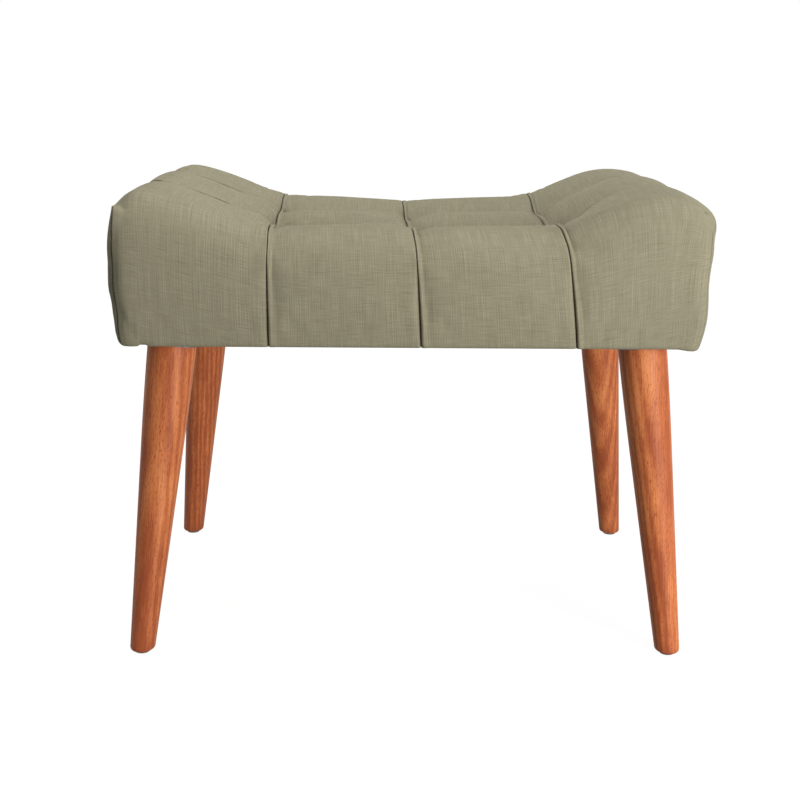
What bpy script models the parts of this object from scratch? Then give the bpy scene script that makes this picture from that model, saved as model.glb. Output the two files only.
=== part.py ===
"""Tufted saddle-seat pouf on four splayed, tapered legs, in metres with +Z up.

The floor is z = 0 and the origin is the middle of the footprint. The seat is wider in X than in Y and its
front faces -Y. Cover, wadding and foam are one rule, seat_point, read at different depths, so they nest.
"""

import math

import bmesh
import bpy
from mathutils import Matrix, Vector

# Gap kept between pieces that touch or are fixed to each other
CLEARANCE = 0.0003

# Wooden frame
FRAME_LENGTH = 0.528
FRAME_DEPTH = 0.366
FRAME_UNDERSIDE = 0.3173
RAIL_HEIGHT = 0.040
RAIL_THICKNESS = 0.020
STRETCHER_THICKNESS = 0.020
DECK_THICKNESS = 0.009
FRAME_CORNER = 0.016
BLOCK_LENGTH = 0.060
BLOCK_DEPTH = 0.070
BLOCK_CHAMFER = 0.022
WOOD_EASE = 0.001

# Upholstery layers
FOAM_THICKNESS = 0.0471
WADDING_THICKNESS = 0.0044
COVER_THICKNESS = 0.0015
HEM_SLACK = 0.0005
TURN_UNDER = 0.014
WADDING_LIFT = 0.004
DUST_THICKNESS = 0.0006
DUST_INSET = 0.006
DUST_CORNER = 0.010

# Seat form
EDGE_RADIUS = 0.034
SIDE_BULGE = 0.0125
BULGE_FADE = 0.065
SADDLE_RISE = 0.0314
RAMP_START = 0.118
RAMP_END = 0.235
CENTRE_SAG = 0.0056

# Sewing and tufting
SEAM_SPACING = 0.139
ROW_OFFSET = 0.064
SEAM_DEPTH = 0.005
SEAM_REACH = 0.046
ROW_DEPTH = 0.008
ROW_REACH = 0.050
END_ROW_DEPTH = 0.003
ROW_FADE = 0.050
TUFT_DEPTH = 0.0134
TUFT_REACH = 0.045
CORNER_CREASE = 0.004
CREASE_REACH = 0.020
FOAM_JOINT_OFFSET = 0.019
TWINE_DIAMETER = 0.0024
KNOT_DIAMETER = 0.010
KNOT_HEIGHT = 0.007

# Legs and their fixings
LEG_INSET_X = 0.0373
LEG_INSET_Y = 0.0499
LEG_SPLAY = math.radians(9.3)
LEG_TOP_DIAMETER = 0.0495
LEG_FOOT_DIAMETER = 0.0242
FOOT_ROUND = 0.003
LEG_TOP_EASE = 0.0015
PLATE_SIZE = 0.064
PLATE_THICKNESS = 0.0025
PLATE_CORNER = 0.006
PLATE_HOLE_EDGE = 0.007
BOSS_RIM = 0.001
BOSS_LIP = 0.001
BOLT_DIAMETER = 0.008
BOLT_IN_LEG = 0.028
BOLT_ABOVE_SEAT = 0.022
BOLT_CHAMFER = 0.001
BOLT_POCKET_WALL = 0.003
SCREW_DIAMETER = 0.004
SCREW_HEAD_DIAMETER = 0.008
SCREW_HEAD_HEIGHT = 0.002
SCREW_LENGTH = 0.018
SCREW_POINT = 0.004
GLIDE_DIAMETER = 0.016
GLIDE_THICKNESS = 0.002
GLIDE_EASE = 0.0006
NAIL_DIAMETER = 0.0024
NAIL_LENGTH = 0.012
NAIL_POINT = 0.003

# How far a cutter runs past the surface it opens
CUT_PAST = 0.002

# Facets round a leg, a turned fixing and a small hole
LEG_FACETS = 24
TURNED_FACETS = 12
SMALL_FACETS = 8

# Heights that follow from the stack
HEM_Z = FRAME_UNDERSIDE - CLEARANCE - COVER_THICKNESS
RAIL_TOP_Z = FRAME_UNDERSIDE + RAIL_HEIGHT
DECK_Z = RAIL_TOP_Z + CLEARANCE
FOAM_Z = DECK_Z + DECK_THICKNESS + CLEARANCE
WADDING_DEPTH = COVER_THICKNESS + CLEARANCE
FOAM_DEPTH = WADDING_DEPTH + WADDING_THICKNESS + CLEARANCE
CREST_Z = FOAM_Z + FOAM_THICKNESS + FOAM_DEPTH
WADDING_Z = FRAME_UNDERSIDE + WADDING_LIFT
DUST_TOP_Z = HEM_Z - CLEARANCE
PLATE_TOP_Z = DUST_TOP_Z - DUST_THICKNESS - CLEARANCE
PLATE_BOTTOM_Z = PLATE_TOP_Z - PLATE_THICKNESS
LEG_CUT_Z = GLIDE_THICKNESS + CLEARANCE

# Half sizes of the padded seat at its widest
HEM_PADDING = FOAM_DEPTH + HEM_SLACK
HALF_LENGTH = FRAME_LENGTH / 2 + HEM_PADDING + SIDE_BULGE
HALF_DEPTH = FRAME_DEPTH / 2 + HEM_PADDING + SIDE_BULGE
FOAM_JOINT = SEAM_SPACING + FOAM_JOINT_OFFSET

# Places along the tilted leg axis, measured down from the underside of the frame
BOSS_RADIUS = LEG_TOP_DIAMETER / 2 + BOSS_RIM
SEAT_DROP = FRAME_UNDERSIDE - PLATE_BOTTOM_Z + BOSS_LIP + BOSS_RADIUS * math.sin(LEG_SPLAY)
BOSS_SEAT = SEAT_DROP / math.cos(LEG_SPLAY)
LEG_TOP = BOSS_SEAT + CLEARANCE
LEG_FLOOR = FRAME_UNDERSIDE / math.cos(LEG_SPLAY)
BOLT_TOP = BOSS_SEAT - BOLT_ABOVE_SEAT
BOLT_FOOT = LEG_TOP + BOLT_IN_LEG
SCREW_OFFSET = PLATE_SIZE / 2 - PLATE_HOLE_EDGE

# Where the seat form is divided: seams, pleats, the starts of the rounded edges and steps between them
SEAM_STEPS = (0.13, 0.36, 0.64, 0.87)
RAMP_STEPS = (0.35, 0.68)
MIDDLE_STEPS = (0.62,)
ROW_STEPS = (0.23, 0.63)

CORNERS = {
    "front_left": (-1, -1),
    "front_right": (1, -1),
    "rear_left": (-1, 1),
    "rear_right": (1, 1),
}
COLUMNS = {"left": -SEAM_SPACING, "centre": 0.0, "right": SEAM_SPACING}
ROWS = {"front": -ROW_OFFSET, "rear": ROW_OFFSET}


def material(name, colour, roughness, metallic=0.0):
    made = bpy.data.materials.new(name)
    made.use_nodes = True
    shader = made.node_tree.nodes["Principled BSDF"]
    shader.inputs["Base Color"].default_value = (*colour, 1.0)
    shader.inputs["Roughness"].default_value = roughness
    shader.inputs["Metallic"].default_value = metallic
    return made


def collection(name):
    made = bpy.data.collections.new(name)
    bpy.context.scene.collection.children.link(made)
    return made


def place(name, data, group, skin=None, parent=None):
    """Make an object from a mesh, a curve or nothing and put it in its collection."""
    made = bpy.data.objects.new(name, data)
    group.objects.link(made)
    made.parent = parent
    if skin is not None:
        data.materials.clear()
        data.materials.append(skin)
    return made


def finished_mesh(name, bm):
    bmesh.ops.recalc_face_normals(bm, faces=bm.faces[:])
    mesh = bpy.data.meshes.new(name)
    bm.to_mesh(mesh)
    bm.free()
    return mesh


def cutter(name, mesh, parent=None):
    made = place(name, mesh, CUTTERS, parent=parent)
    made.hide_render = True
    made.display_type = "WIRE"
    return made


def carve(body, tool, operation="DIFFERENCE"):
    modifier = body.modifiers.new(tool.name, "BOOLEAN")
    modifier.operation = operation
    modifier.solver = "EXACT"
    modifier.object = tool


def add_turned(bm, profile, facets, spot=Vector()):
    """Spin a profile of (radius, height) pairs, listed top to bottom, into a closed solid about Z."""
    before = set(bm.verts)
    verts = [bm.verts.new((radius, 0.0, height)) for radius, height in profile]
    edges = [bm.edges.new(pair) for pair in zip(verts, verts[1:])]
    bmesh.ops.spin(bm, geom=verts + edges, axis=(0, 0, 1), angle=math.tau, steps=facets, use_merge=True)
    made = [vert for vert in bm.verts if vert not in before]
    bmesh.ops.translate(bm, verts=made, vec=spot)
    bmesh.ops.remove_doubles(bm, verts=made, dist=0.00001)


def turned_mesh(name, profile, facets):
    bm = bmesh.new()
    add_turned(bm, profile, facets)
    return finished_mesh(name, bm)


def box_mesh(name, size, sides=(), chamfer=0.0):
    """A box about its own middle; sides picks upright edges to chamfer by the signs of their x and y."""
    bm = bmesh.new()
    bmesh.ops.create_cube(bm, size=1.0, matrix=Matrix.Diagonal((*size, 1.0)))
    picked = []
    for side_x, side_y in sides:
        for edge in bm.edges:
            if all(vert.co.x * side_x > 0 and vert.co.y * side_y > 0 for vert in edge.verts):
                picked.append(edge)
    if picked:
        bmesh.ops.bevel(bm, geom=picked, offset=chamfer, segments=1, affect="EDGES")
    return finished_mesh(name, bm)


def board(name, size, centre, skin, sides=(), chamfer=0.0):
    made = place(name, box_mesh(name, size, sides, chamfer), PARTS, skin)
    made.location = centre
    ease = made.modifiers.new("eased edges", "BEVEL")
    ease.width = WOOD_EASE
    ease.segments = 1
    return made


def trim(bm, point, normal):
    """Cut away what lies on the normal's side of a plane and close the cut; give back its rim."""
    geometry = bm.verts[:] + bm.edges[:] + bm.faces[:]
    cut = bmesh.ops.bisect_plane(bm, geom=geometry, plane_co=point, plane_no=normal, clear_outer=True)
    rim = [item for item in cut["geom_cut"] if isinstance(item, bmesh.types.BMEdge)]
    bmesh.ops.holes_fill(bm, edges=rim)
    return rim


def add_rod(bm, top, bottom, top_radius, bottom_radius, facets, x=0.0, y=0.0):
    """A closed upright rod between two heights."""
    bmesh.ops.create_cone(
        bm,
        cap_ends=True,
        segments=facets,
        radius1=bottom_radius,
        radius2=top_radius,
        depth=top - bottom,
        matrix=Matrix.Translation((x, y, (top + bottom) / 2)),
    )


def rod_mesh(name, radius, top, bottom, facets):
    bm = bmesh.new()
    add_rod(bm, top, bottom, radius, radius, facets)
    return finished_mesh(name, bm)


def limit(value, bound):
    return max(-bound, min(bound, value))


def smooth_step(low, high, value):
    share = max(0.0, min(1.0, (value - low) / (high - low)))
    return share * share * (3.0 - 2.0 * share)


def dip(distance, reach):
    share = max(0.0, 1.0 - distance / reach)
    return share * share


def saddle(x):
    """Rise of the crest line above the middle of the seat."""
    run = abs(x)
    return CENTRE_SAG * min(1.0, run / SEAM_SPACING) + SADDLE_RISE * smooth_step(RAMP_START, RAMP_END, run)


def sewn_dip(x, y, z):
    """Depth by which seams, pleats, tufts and corner folds draw the cover in; nothing at the hem."""
    to_seam = min(abs(x), abs(abs(x) - SEAM_SPACING))
    to_row = abs(abs(y) - ROW_OFFSET)
    fade = smooth_step(0.0, ROW_FADE, abs(x) - SEAM_SPACING)
    row_depth = ROW_DEPTH + (END_ROW_DEPTH - ROW_DEPTH) * fade
    seam = SEAM_DEPTH * dip(to_seam, SEAM_REACH)
    row = row_depth * dip(to_row, ROW_REACH)
    tuft = TUFT_DEPTH * math.exp(-((to_seam**2 + to_row**2) / TUFT_REACH**2))
    to_corner = HALF_LENGTH - abs(x) + HALF_DEPTH - abs(y)
    below_crest = max(0.0, min(1.0, (CREST_Z - z) / EDGE_RADIUS))
    fold = CORNER_CREASE * dip(to_corner, CREASE_REACH) * below_crest
    drawn = (seam**3 + row**3 + tuft**3 + fold**3) ** (1.0 / 3.0)
    return drawn * (1.0 - dip(z - HEM_Z, BULGE_FADE))


def seat_point(spot, depth):
    """Move a point of the plain seat box onto the padded form, depth below the outer face of the cover.

    Below the hem the box height counts the run of the cover that is turned under the frame.
    """
    x, y, z = spot
    level = max(z, HEM_Z)
    core_x = limit(x, HALF_LENGTH - EDGE_RADIUS)
    core_y = limit(y, HALF_DEPTH - EDGE_RADIUS)
    core = Vector((core_x, core_y, min(level, CREST_Z - EDGE_RADIUS)))
    outward = (Vector((x, y, level)) - core).normalized()
    plain = core + outward * EDGE_RADIUS
    pulled = SIDE_BULGE * dip(level - HEM_Z, BULGE_FADE) + HEM_Z - min(z, HEM_Z)
    moved = plain - outward * (depth + sewn_dip(x, y, level))
    moved -= Vector((outward.x, outward.y, 0.0)) * pulled
    moved.z += saddle(x) * max(0.0, plain.z - FOAM_Z) / (CREST_Z - FOAM_Z)
    if z <= HEM_Z:
        moved.z += depth
    return moved


def steps_between(start, end, shares):
    return [start + (end - start) * share for share in shares]


def both_sides(lines):
    return [-line for line in lines if line > 0.0] + lines


def seat_lines():
    """Division lines of the seat box along X, Y and Z, the same for every layer."""
    round_x = HALF_LENGTH - EDGE_RADIUS
    round_y = HALF_DEPTH - EDGE_RADIUS
    round_z = CREST_Z - EDGE_RADIUS
    along_x = [0.0, *steps_between(0.0, SEAM_SPACING, SEAM_STEPS), SEAM_SPACING, FOAM_JOINT]
    along_x += steps_between(FOAM_JOINT, round_x, RAMP_STEPS)
    along_x += [round_x, (round_x + HALF_LENGTH) / 2]
    along_y = [0.0, *steps_between(0.0, ROW_OFFSET, MIDDLE_STEPS), ROW_OFFSET]
    along_y += steps_between(ROW_OFFSET, round_y, ROW_STEPS)
    along_y += [round_y, (round_y + HALF_DEPTH) / 2]
    along_z = [HEM_Z, WADDING_Z, FOAM_Z, round_z, (round_z + CREST_Z) / 2]
    return both_sides(along_x), both_sides(along_y), along_z


def seat_cage(x_low, x_high, z_low):
    """A plain box of the seat between two x places and up from a height, divided at the seat lines."""
    bm = bmesh.new()
    low = Vector((x_low, -HALF_DEPTH, z_low))
    high = Vector((x_high, HALF_DEPTH, CREST_Z))
    grow = Matrix.Translation((low + high) / 2) @ Matrix.Diagonal((*(high - low), 1.0))
    bmesh.ops.create_cube(bm, size=1.0, matrix=grow)
    for axis, lines in enumerate(seat_lines()):
        normal = [0.0, 0.0, 0.0]
        normal[axis] = 1.0
        for line in lines:
            if not low[axis] + CLEARANCE < line < high[axis] - CLEARANCE:
                continue
            point = [0.0, 0.0, 0.0]
            point[axis] = line
            geometry = bm.verts[:] + bm.edges[:] + bm.faces[:]
            bmesh.ops.bisect_plane(bm, geom=geometry, plane_co=point, plane_no=normal)
    return bm


def flat_sides(bm):
    """Groups of box faces that are not padded: the underside, and upright cuts short of the seat's ends."""
    bm.normal_update()
    groups = [[face for face in bm.faces if face.normal.z < -0.5]]
    for sign in (-1, 1):
        side = [face for face in bm.faces if face.normal.x * sign > 0.5]
        if abs(side[0].calc_center_median().x) < HALF_LENGTH - EDGE_RADIUS:
            groups.append(side)
    return groups


def padded_shell(name, x_low, x_high, z_low, outer_depth, inner_depth, skin):
    """An open sheet of the seat form with an outer face, a lining face and a closed rim."""
    bm = seat_cage(x_low, x_high, z_low)
    for side in flat_sides(bm):
        bmesh.ops.delete(bm, geom=side, context="FACES")
    outer = bm.verts[:]
    doubled = bmesh.ops.duplicate(bm, geom=bm.verts[:] + bm.edges[:] + bm.faces[:])["geom"]
    lining = [item for item in doubled if isinstance(item, bmesh.types.BMVert)]
    lining_faces = [item for item in doubled if isinstance(item, bmesh.types.BMFace)]
    bmesh.ops.reverse_faces(bm, faces=lining_faces)
    for vert in outer:
        vert.co = seat_point(vert.co, outer_depth)
    for vert in lining:
        vert.co = seat_point(vert.co, inner_depth)
    bmesh.ops.bridge_loops(bm, edges=[edge for edge in bm.edges if edge.is_boundary])
    return place(name, finished_mesh(name, bm), PARTS, skin)


def padded_block(name, x_low, x_high, skin):
    """A foam block of the seat form on the deck, flat underneath and where it meets its neighbour."""
    bm = seat_cage(x_low, x_high, FOAM_Z)
    for side in flat_sides(bm):
        bmesh.ops.dissolve_faces(bm, faces=side, use_verts=True)
    for vert in bm.verts:
        vert.co = seat_point(vert.co, FOAM_DEPTH)
    return place(name, finished_mesh(name, bm), PARTS, skin)


def ring_points(centre_x, centre_y, radius, facets):
    angles = [math.tau * step / facets for step in range(facets)]
    return [(centre_x + radius * math.cos(a), centre_y + radius * math.sin(a)) for a in angles]


def rounded_outline(half_x, half_y, radius):
    """Points of a rectangle with quarter-round corners, counter-clockwise."""
    points = []
    for turn, (side_x, side_y) in enumerate(((1, 1), (-1, 1), (-1, -1), (1, -1))):
        middle_x = side_x * (half_x - radius)
        middle_y = side_y * (half_y - radius)
        for step in range(4):
            angle = (turn + step / 3) * math.pi / 2
            points.append((middle_x + radius * math.cos(angle), middle_y + radius * math.sin(angle)))
    return points


def flat_sheet(name, outlines, thickness, skin):
    """A filled flat outline with holes, thickened about its own plane."""
    curve = bpy.data.curves.new(name, "CURVE")
    curve.dimensions = "2D"
    curve.fill_mode = "BOTH"
    curve.extrude = thickness / 2
    for outline in outlines:
        spline = curve.splines.new("POLY")
        spline.points.add(len(outline) - 1)
        spline.use_cyclic_u = True
        for spot, (x, y) in zip(spline.points, outline):
            spot.co = (x, y, 0.0, 1.0)
    return place(name, curve, PARTS, skin)


def on_leg_axis(distance):
    """Point on the leg axis in a corner's own frame, where +X runs outward along the diagonal."""
    return Vector((distance * math.sin(LEG_SPLAY), 0.0, -distance * math.cos(LEG_SPLAY)))


def leg_mesh():
    """Tapered leg down its own -Z axis from the underside of the frame, its foot cut level."""
    bm = bmesh.new()
    taper = (LEG_TOP_DIAMETER - LEG_FOOT_DIAMETER) / 2 / (LEG_FLOOR - LEG_TOP)
    past = LEG_FLOOR + LEG_FOOT_DIAMETER
    past_radius = LEG_FOOT_DIAMETER / 2 - taper * LEG_FOOT_DIAMETER
    add_rod(bm, -LEG_TOP, -past, LEG_TOP_DIAMETER / 2, past_radius, LEG_FACETS)
    upright = Vector((math.sin(LEG_SPLAY), 0.0, math.cos(LEG_SPLAY)))
    sole = trim(bm, upright * (LEG_CUT_Z - FRAME_UNDERSIDE), -upright)
    bmesh.ops.bevel(bm, geom=sole, offset=FOOT_ROUND, segments=3, profile=0.5, affect="EDGES")
    crown = [edge for edge in bm.edges if all(abs(vert.co.z + LEG_TOP) < CLEARANCE for vert in edge.verts)]
    bmesh.ops.bevel(bm, geom=crown, offset=LEG_TOP_EASE, segments=1, affect="EDGES")
    return finished_mesh("leg", bm)


def plate_mesh():
    """Square flange of a leg plate, its sides square to the seat when the corner's +X is the diagonal."""
    bm = bmesh.new()
    size = Matrix.Diagonal((PLATE_SIZE, PLATE_SIZE, PLATE_THICKNESS, 1.0))
    bmesh.ops.create_cube(bm, size=1.0, matrix=size)
    upright = [edge for edge in bm.edges if abs(edge.verts[0].co.z - edge.verts[1].co.z) > CLEARANCE]
    bmesh.ops.bevel(bm, geom=upright, offset=PLATE_CORNER, segments=3, profile=0.5, affect="EDGES")
    lower = Matrix.Translation((0.0, 0.0, (PLATE_TOP_Z + PLATE_BOTTOM_Z) / 2 - FRAME_UNDERSIDE))
    turn = Matrix.Rotation(math.pi / 4, 4, "Z")
    bmesh.ops.transform(bm, matrix=lower @ turn, verts=bm.verts[:])
    return finished_mesh("leg_plate", bm)


def boss_mesh():
    """Wedge under the flange, square to the leg below and level inside the flange above."""
    bm = bmesh.new()
    add_rod(bm, BOSS_RADIUS, -BOSS_SEAT, BOSS_RADIUS, BOSS_RADIUS, LEG_FACETS)
    bmesh.ops.rotate(bm, verts=bm.verts[:], matrix=Matrix.Rotation(-LEG_SPLAY, 3, "Y"))
    inside_flange = (PLATE_TOP_Z + PLATE_BOTTOM_Z) / 2 - FRAME_UNDERSIDE
    trim(bm, (0.0, 0.0, inside_flange), (0.0, 0.0, 1.0))
    return finished_mesh("boss", bm)


def screw_profile(margin, below):
    """Countersunk screw pointing up from its flat head; margin and below grow it into its own cutter."""
    shank = SCREW_DIAMETER / 2 + margin
    head = SCREW_HEAD_DIAMETER / 2 + margin
    profile = [(0.0, SCREW_LENGTH + margin), (shank, SCREW_LENGTH - SCREW_POINT + margin)]
    profile += [(shank, SCREW_HEAD_HEIGHT), (head, 0.0)]
    if below > 0.0:
        profile.append((head, -below))
    return [*profile, (0.0, -below)]


def screw_spots():
    """Screw centres of one plate in its corner's frame, on the lower face of the flange."""
    reach = SCREW_OFFSET * math.sqrt(2.0)
    level = PLATE_BOTTOM_Z - FRAME_UNDERSIDE
    spots = ((reach, 0.0), (0.0, reach), (-reach, 0.0), (0.0, -reach))
    return [Vector((x, y, level)) for x, y in spots]


def glide_profile():
    rim = GLIDE_DIAMETER / 2
    nail = NAIL_DIAMETER / 2
    tip = GLIDE_THICKNESS + NAIL_LENGTH
    return [
        (0.0, tip),
        (nail, tip - NAIL_POINT),
        (nail, GLIDE_THICKNESS),
        (rim, GLIDE_THICKNESS),
        (rim, GLIDE_EASE),
        (rim - GLIDE_EASE, 0.0),
        (0.0, 0.0),
    ]


def bolt_profile():
    radius = BOLT_DIAMETER / 2
    slim = radius - BOLT_CHAMFER
    return [
        (0.0, -BOLT_TOP),
        (slim, -BOLT_TOP),
        (radius, -BOLT_TOP - BOLT_CHAMFER),
        (radius, -BOLT_FOOT + BOLT_CHAMFER),
        (slim, -BOLT_FOOT),
        (0.0, -BOLT_FOOT),
    ]


def tie_profile(top):
    """Twine from just under the cover down to a knot held below the deck."""
    twine = TWINE_DIAMETER / 2
    knot = KNOT_DIAMETER / 2
    knot_top = RAIL_TOP_Z - CLEARANCE
    return [
        (0.0, top),
        (twine, top),
        (twine, knot_top),
        (knot * 0.8, knot_top),
        (knot, knot_top - KNOT_HEIGHT * 0.35),
        (knot * 0.7, knot_top - KNOT_HEIGHT * 0.85),
        (0.0, knot_top - KNOT_HEIGHT),
    ]


def build_upholstery():
    seam = SEAM_SPACING
    half_gap = CLEARANCE / 2
    panels = {
        "cover_left_end": (-HALF_LENGTH, -seam - half_gap),
        "cover_mid_left": (-seam + half_gap, -half_gap),
        "cover_mid_right": (half_gap, seam - half_gap),
        "cover_right_end": (seam + half_gap, HALF_LENGTH),
    }
    cover = {}
    for name, (low, high) in panels.items():
        cover[name] = padded_shell(name, low, high, HEM_Z - TURN_UNDER, 0.0, COVER_THICKNESS, LINEN)
    inner = WADDING_DEPTH + WADDING_THICKNESS
    wadding = padded_shell("wadding", -HALF_LENGTH, HALF_LENGTH, WADDING_Z, WADDING_DEPTH, inner, WADDING)
    padded_block("foam_left", -HALF_LENGTH, -FOAM_JOINT - half_gap, FOAM)
    centre = padded_block("foam_centre", -FOAM_JOINT + half_gap, FOAM_JOINT - half_gap, FOAM)
    padded_block("foam_right", FOAM_JOINT + half_gap, HALF_LENGTH, FOAM)
    return cover, wadding, centre


def build_frame():
    middle_z = FRAME_UNDERSIDE + RAIL_HEIGHT / 2
    rail_y = (FRAME_DEPTH - RAIL_THICKNESS) / 2
    rail_x = (FRAME_LENGTH - RAIL_THICKNESS) / 2
    cross = FRAME_DEPTH - 2 * (RAIL_THICKNESS + CLEARANCE)
    long_size = (FRAME_LENGTH, RAIL_THICKNESS, RAIL_HEIGHT)
    end_size = (RAIL_THICKNESS, cross, RAIL_HEIGHT)
    stretcher_size = (STRETCHER_THICKNESS, cross, RAIL_HEIGHT)
    front_sides = ((-1, -1), (1, -1))
    rear_sides = ((-1, 1), (1, 1))
    rails = {
        "front": board("rail_front", long_size, (0.0, -rail_y, middle_z), PINE, front_sides, FRAME_CORNER),
        "rear": board("rail_rear", long_size, (0.0, rail_y, middle_z), PINE, rear_sides, FRAME_CORNER),
        "left": board("rail_left", end_size, (-rail_x, 0.0, middle_z), PINE),
        "right": board("rail_right", end_size, (rail_x, 0.0, middle_z), PINE),
    }
    board("stretcher_left", stretcher_size, (-SEAM_SPACING / 2, 0.0, middle_z), PINE)
    board("stretcher_right", stretcher_size, (SEAM_SPACING / 2, 0.0, middle_z), PINE)
    deck_size = (FRAME_LENGTH, FRAME_DEPTH, DECK_THICKNESS)
    deck_spot = (0.0, 0.0, DECK_Z + DECK_THICKNESS / 2)
    deck = board("deck", deck_size, deck_spot, PLYWOOD, CORNERS.values(), FRAME_CORNER)
    return rails, deck


def build_ties(pierced):
    """Six ties at the crossings of seams and pleats, and one cutter that opens the layers for them."""
    bm = bmesh.new()
    hole = TWINE_DIAMETER / 2 + CLEARANCE
    above = CREST_Z + SADDLE_RISE + CENTRE_SAG
    for row_name, y in ROWS.items():
        for column_name, x in COLUMNS.items():
            top = seat_point((x, y, CREST_Z), COVER_THICKNESS).z - CLEARANCE
            mesh = turned_mesh("tuft_tie", tie_profile(top), SMALL_FACETS)
            tie = place("tuft_tie_" + row_name + "_" + column_name, mesh, PARTS, TWINE)
            tie.location = (x, y, 0.0)
            add_rod(bm, above, RAIL_TOP_Z - CUT_PAST, hole, hole, SMALL_FACETS, x, y)
    holes = cutter("tie_holes", finished_mesh("tie_holes", bm))
    for body in pierced:
        carve(body, holes)


def build_dust_cover(leg_x, leg_y):
    half_x = FRAME_LENGTH / 2 - DUST_INSET
    half_y = FRAME_DEPTH / 2 - DUST_INSET
    outlines = [rounded_outline(half_x, half_y, DUST_CORNER)]
    screw_hole = SCREW_DIAMETER / 2 + CLEARANCE
    bolt_hole = BOLT_DIAMETER / 2 + BOLT_POCKET_WALL
    for side_x, side_y in CORNERS.values():
        x = side_x * leg_x
        y = side_y * leg_y
        outlines.append(ring_points(x, y, bolt_hole, TURNED_FACETS))
        for step_x in (-SCREW_OFFSET, SCREW_OFFSET):
            for step_y in (-SCREW_OFFSET, SCREW_OFFSET):
                outlines.append(ring_points(x + step_x, y + step_y, screw_hole, SMALL_FACETS))
    sheet = flat_sheet("dust_cover", outlines, DUST_THICKNESS, NONWOVEN)
    sheet.location.z = DUST_TOP_Z - DUST_THICKNESS / 2


def corner_tools(corner, anchor):
    """Cutters and the plate boss of one corner, all parented to its anchor."""
    top = -BOLT_TOP + CUT_PAST
    bolt_radius = BOLT_DIAMETER / 2 + CLEARANCE
    bolt_hole = rod_mesh("bolt_hole", bolt_radius, top, -BOLT_FOOT - CLEARANCE, TURNED_FACETS)
    pocket_radius = BOLT_DIAMETER / 2 + BOLT_POCKET_WALL
    bolt_pocket = rod_mesh("bolt_pocket", pocket_radius, top, -BOSS_SEAT / 2, TURNED_FACETS)
    hollow_radius = BOSS_RADIUS - PLATE_THICKNESS
    hollow_floor = -BOSS_SEAT + PLATE_THICKNESS
    plate_hollow = rod_mesh("plate_hollow", hollow_radius, BOSS_RADIUS, hollow_floor, LEG_FACETS)
    tools = {
        "bolt": cutter("bolt_hole_" + corner, bolt_hole, anchor),
        "wood": cutter("bolt_pocket_" + corner, bolt_pocket, anchor),
        "hollow": cutter("plate_hollow_" + corner, plate_hollow, anchor),
    }
    for tool in tools.values():
        tool.rotation_euler.y = -LEG_SPLAY
    tools["boss"] = cutter("plate_boss_" + corner, boss_mesh(), anchor)
    bm = bmesh.new()
    for spot in screw_spots():
        add_turned(bm, screw_profile(CLEARANCE, CUT_PAST), SMALL_FACETS, spot)
    tools["screws"] = cutter("screw_holes_" + corner, finished_mesh("screw_holes", bm), anchor)
    nail_radius = NAIL_DIAMETER / 2 + CLEARANCE
    nail_top = GLIDE_THICKNESS + NAIL_LENGTH + CLEARANCE
    nail_hole = rod_mesh("nail_hole", nail_radius, nail_top, 0.0, SMALL_FACETS)
    tools["nail"] = cutter("nail_hole_" + corner, nail_hole, anchor)
    tools["nail"].location = foot_spot()
    return tools


def foot_spot():
    """Floor point under the middle of the level-cut foot, in a corner's own frame."""
    sole = on_leg_axis((FRAME_UNDERSIDE - LEG_CUT_Z) / math.cos(LEG_SPLAY))
    return Vector((sole.x, 0.0, -FRAME_UNDERSIDE))


def build_corners(cover, rails, leg_x, leg_y):
    shared_leg = leg_mesh()
    shared_plate = plate_mesh()
    shared_bolt = turned_mesh("hanger_bolt", bolt_profile(), TURNED_FACETS)
    shared_screw = turned_mesh("plate_screw", screw_profile(0.0, 0.0), SMALL_FACETS)
    shared_glide = turned_mesh("glide", glide_profile(), TURNED_FACETS)
    block_size = (BLOCK_LENGTH, BLOCK_DEPTH, RAIL_HEIGHT)
    block_x = FRAME_LENGTH / 2 - RAIL_THICKNESS - CLEARANCE - BLOCK_LENGTH / 2
    block_y = FRAME_DEPTH / 2 - RAIL_THICKNESS - CLEARANCE - BLOCK_DEPTH / 2
    block_z = FRAME_UNDERSIDE + RAIL_HEIGHT / 2
    for corner, (side_x, side_y) in CORNERS.items():
        anchor = place("corner_" + corner, None, PARTS)
        anchor.location = (side_x * leg_x, side_y * leg_y, FRAME_UNDERSIDE)
        anchor.rotation_euler.z = math.atan2(side_y, side_x)
        tools = corner_tools(corner, anchor)

        leg = place("leg_" + corner, shared_leg, PARTS, STAINED_WOOD, anchor)
        leg.rotation_euler.y = -LEG_SPLAY
        carve(leg, tools["bolt"])
        carve(leg, tools["nail"])

        plate = place("leg_plate_" + corner, shared_plate, PARTS, ZINC, anchor)
        carve(plate, tools["boss"], "UNION")
        carve(plate, tools["hollow"])
        carve(plate, tools["bolt"])
        carve(plate, tools["screws"])

        bolt = place("hanger_bolt_" + corner, shared_bolt, PARTS, ZINC, anchor)
        bolt.rotation_euler.y = -LEG_SPLAY

        for number, spot in enumerate(screw_spots(), start=1):
            screw = place("plate_screw_" + corner + "_" + str(number), shared_screw, PARTS, ZINC, anchor)
            screw.location = spot

        glide = place("glide_" + corner, shared_glide, PARTS, NYLON, anchor)
        glide.location = foot_spot()

        block_spot = (side_x * block_x, side_y * block_y, block_z)
        inner = [(-side_x, -side_y)]
        block = board("corner_block_" + corner, block_size, block_spot, PINE, inner, BLOCK_CHAMFER)
        long_rail = rails["front"] if side_y < 0 else rails["rear"]
        end_rail = rails["left"] if side_x < 0 else rails["right"]
        for wood in (block, long_rail, end_rail):
            carve(wood, tools["wood"])
            carve(wood, tools["screws"])
        carve(cover["cover_left_end"] if side_x < 0 else cover["cover_right_end"], tools["screws"])


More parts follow.
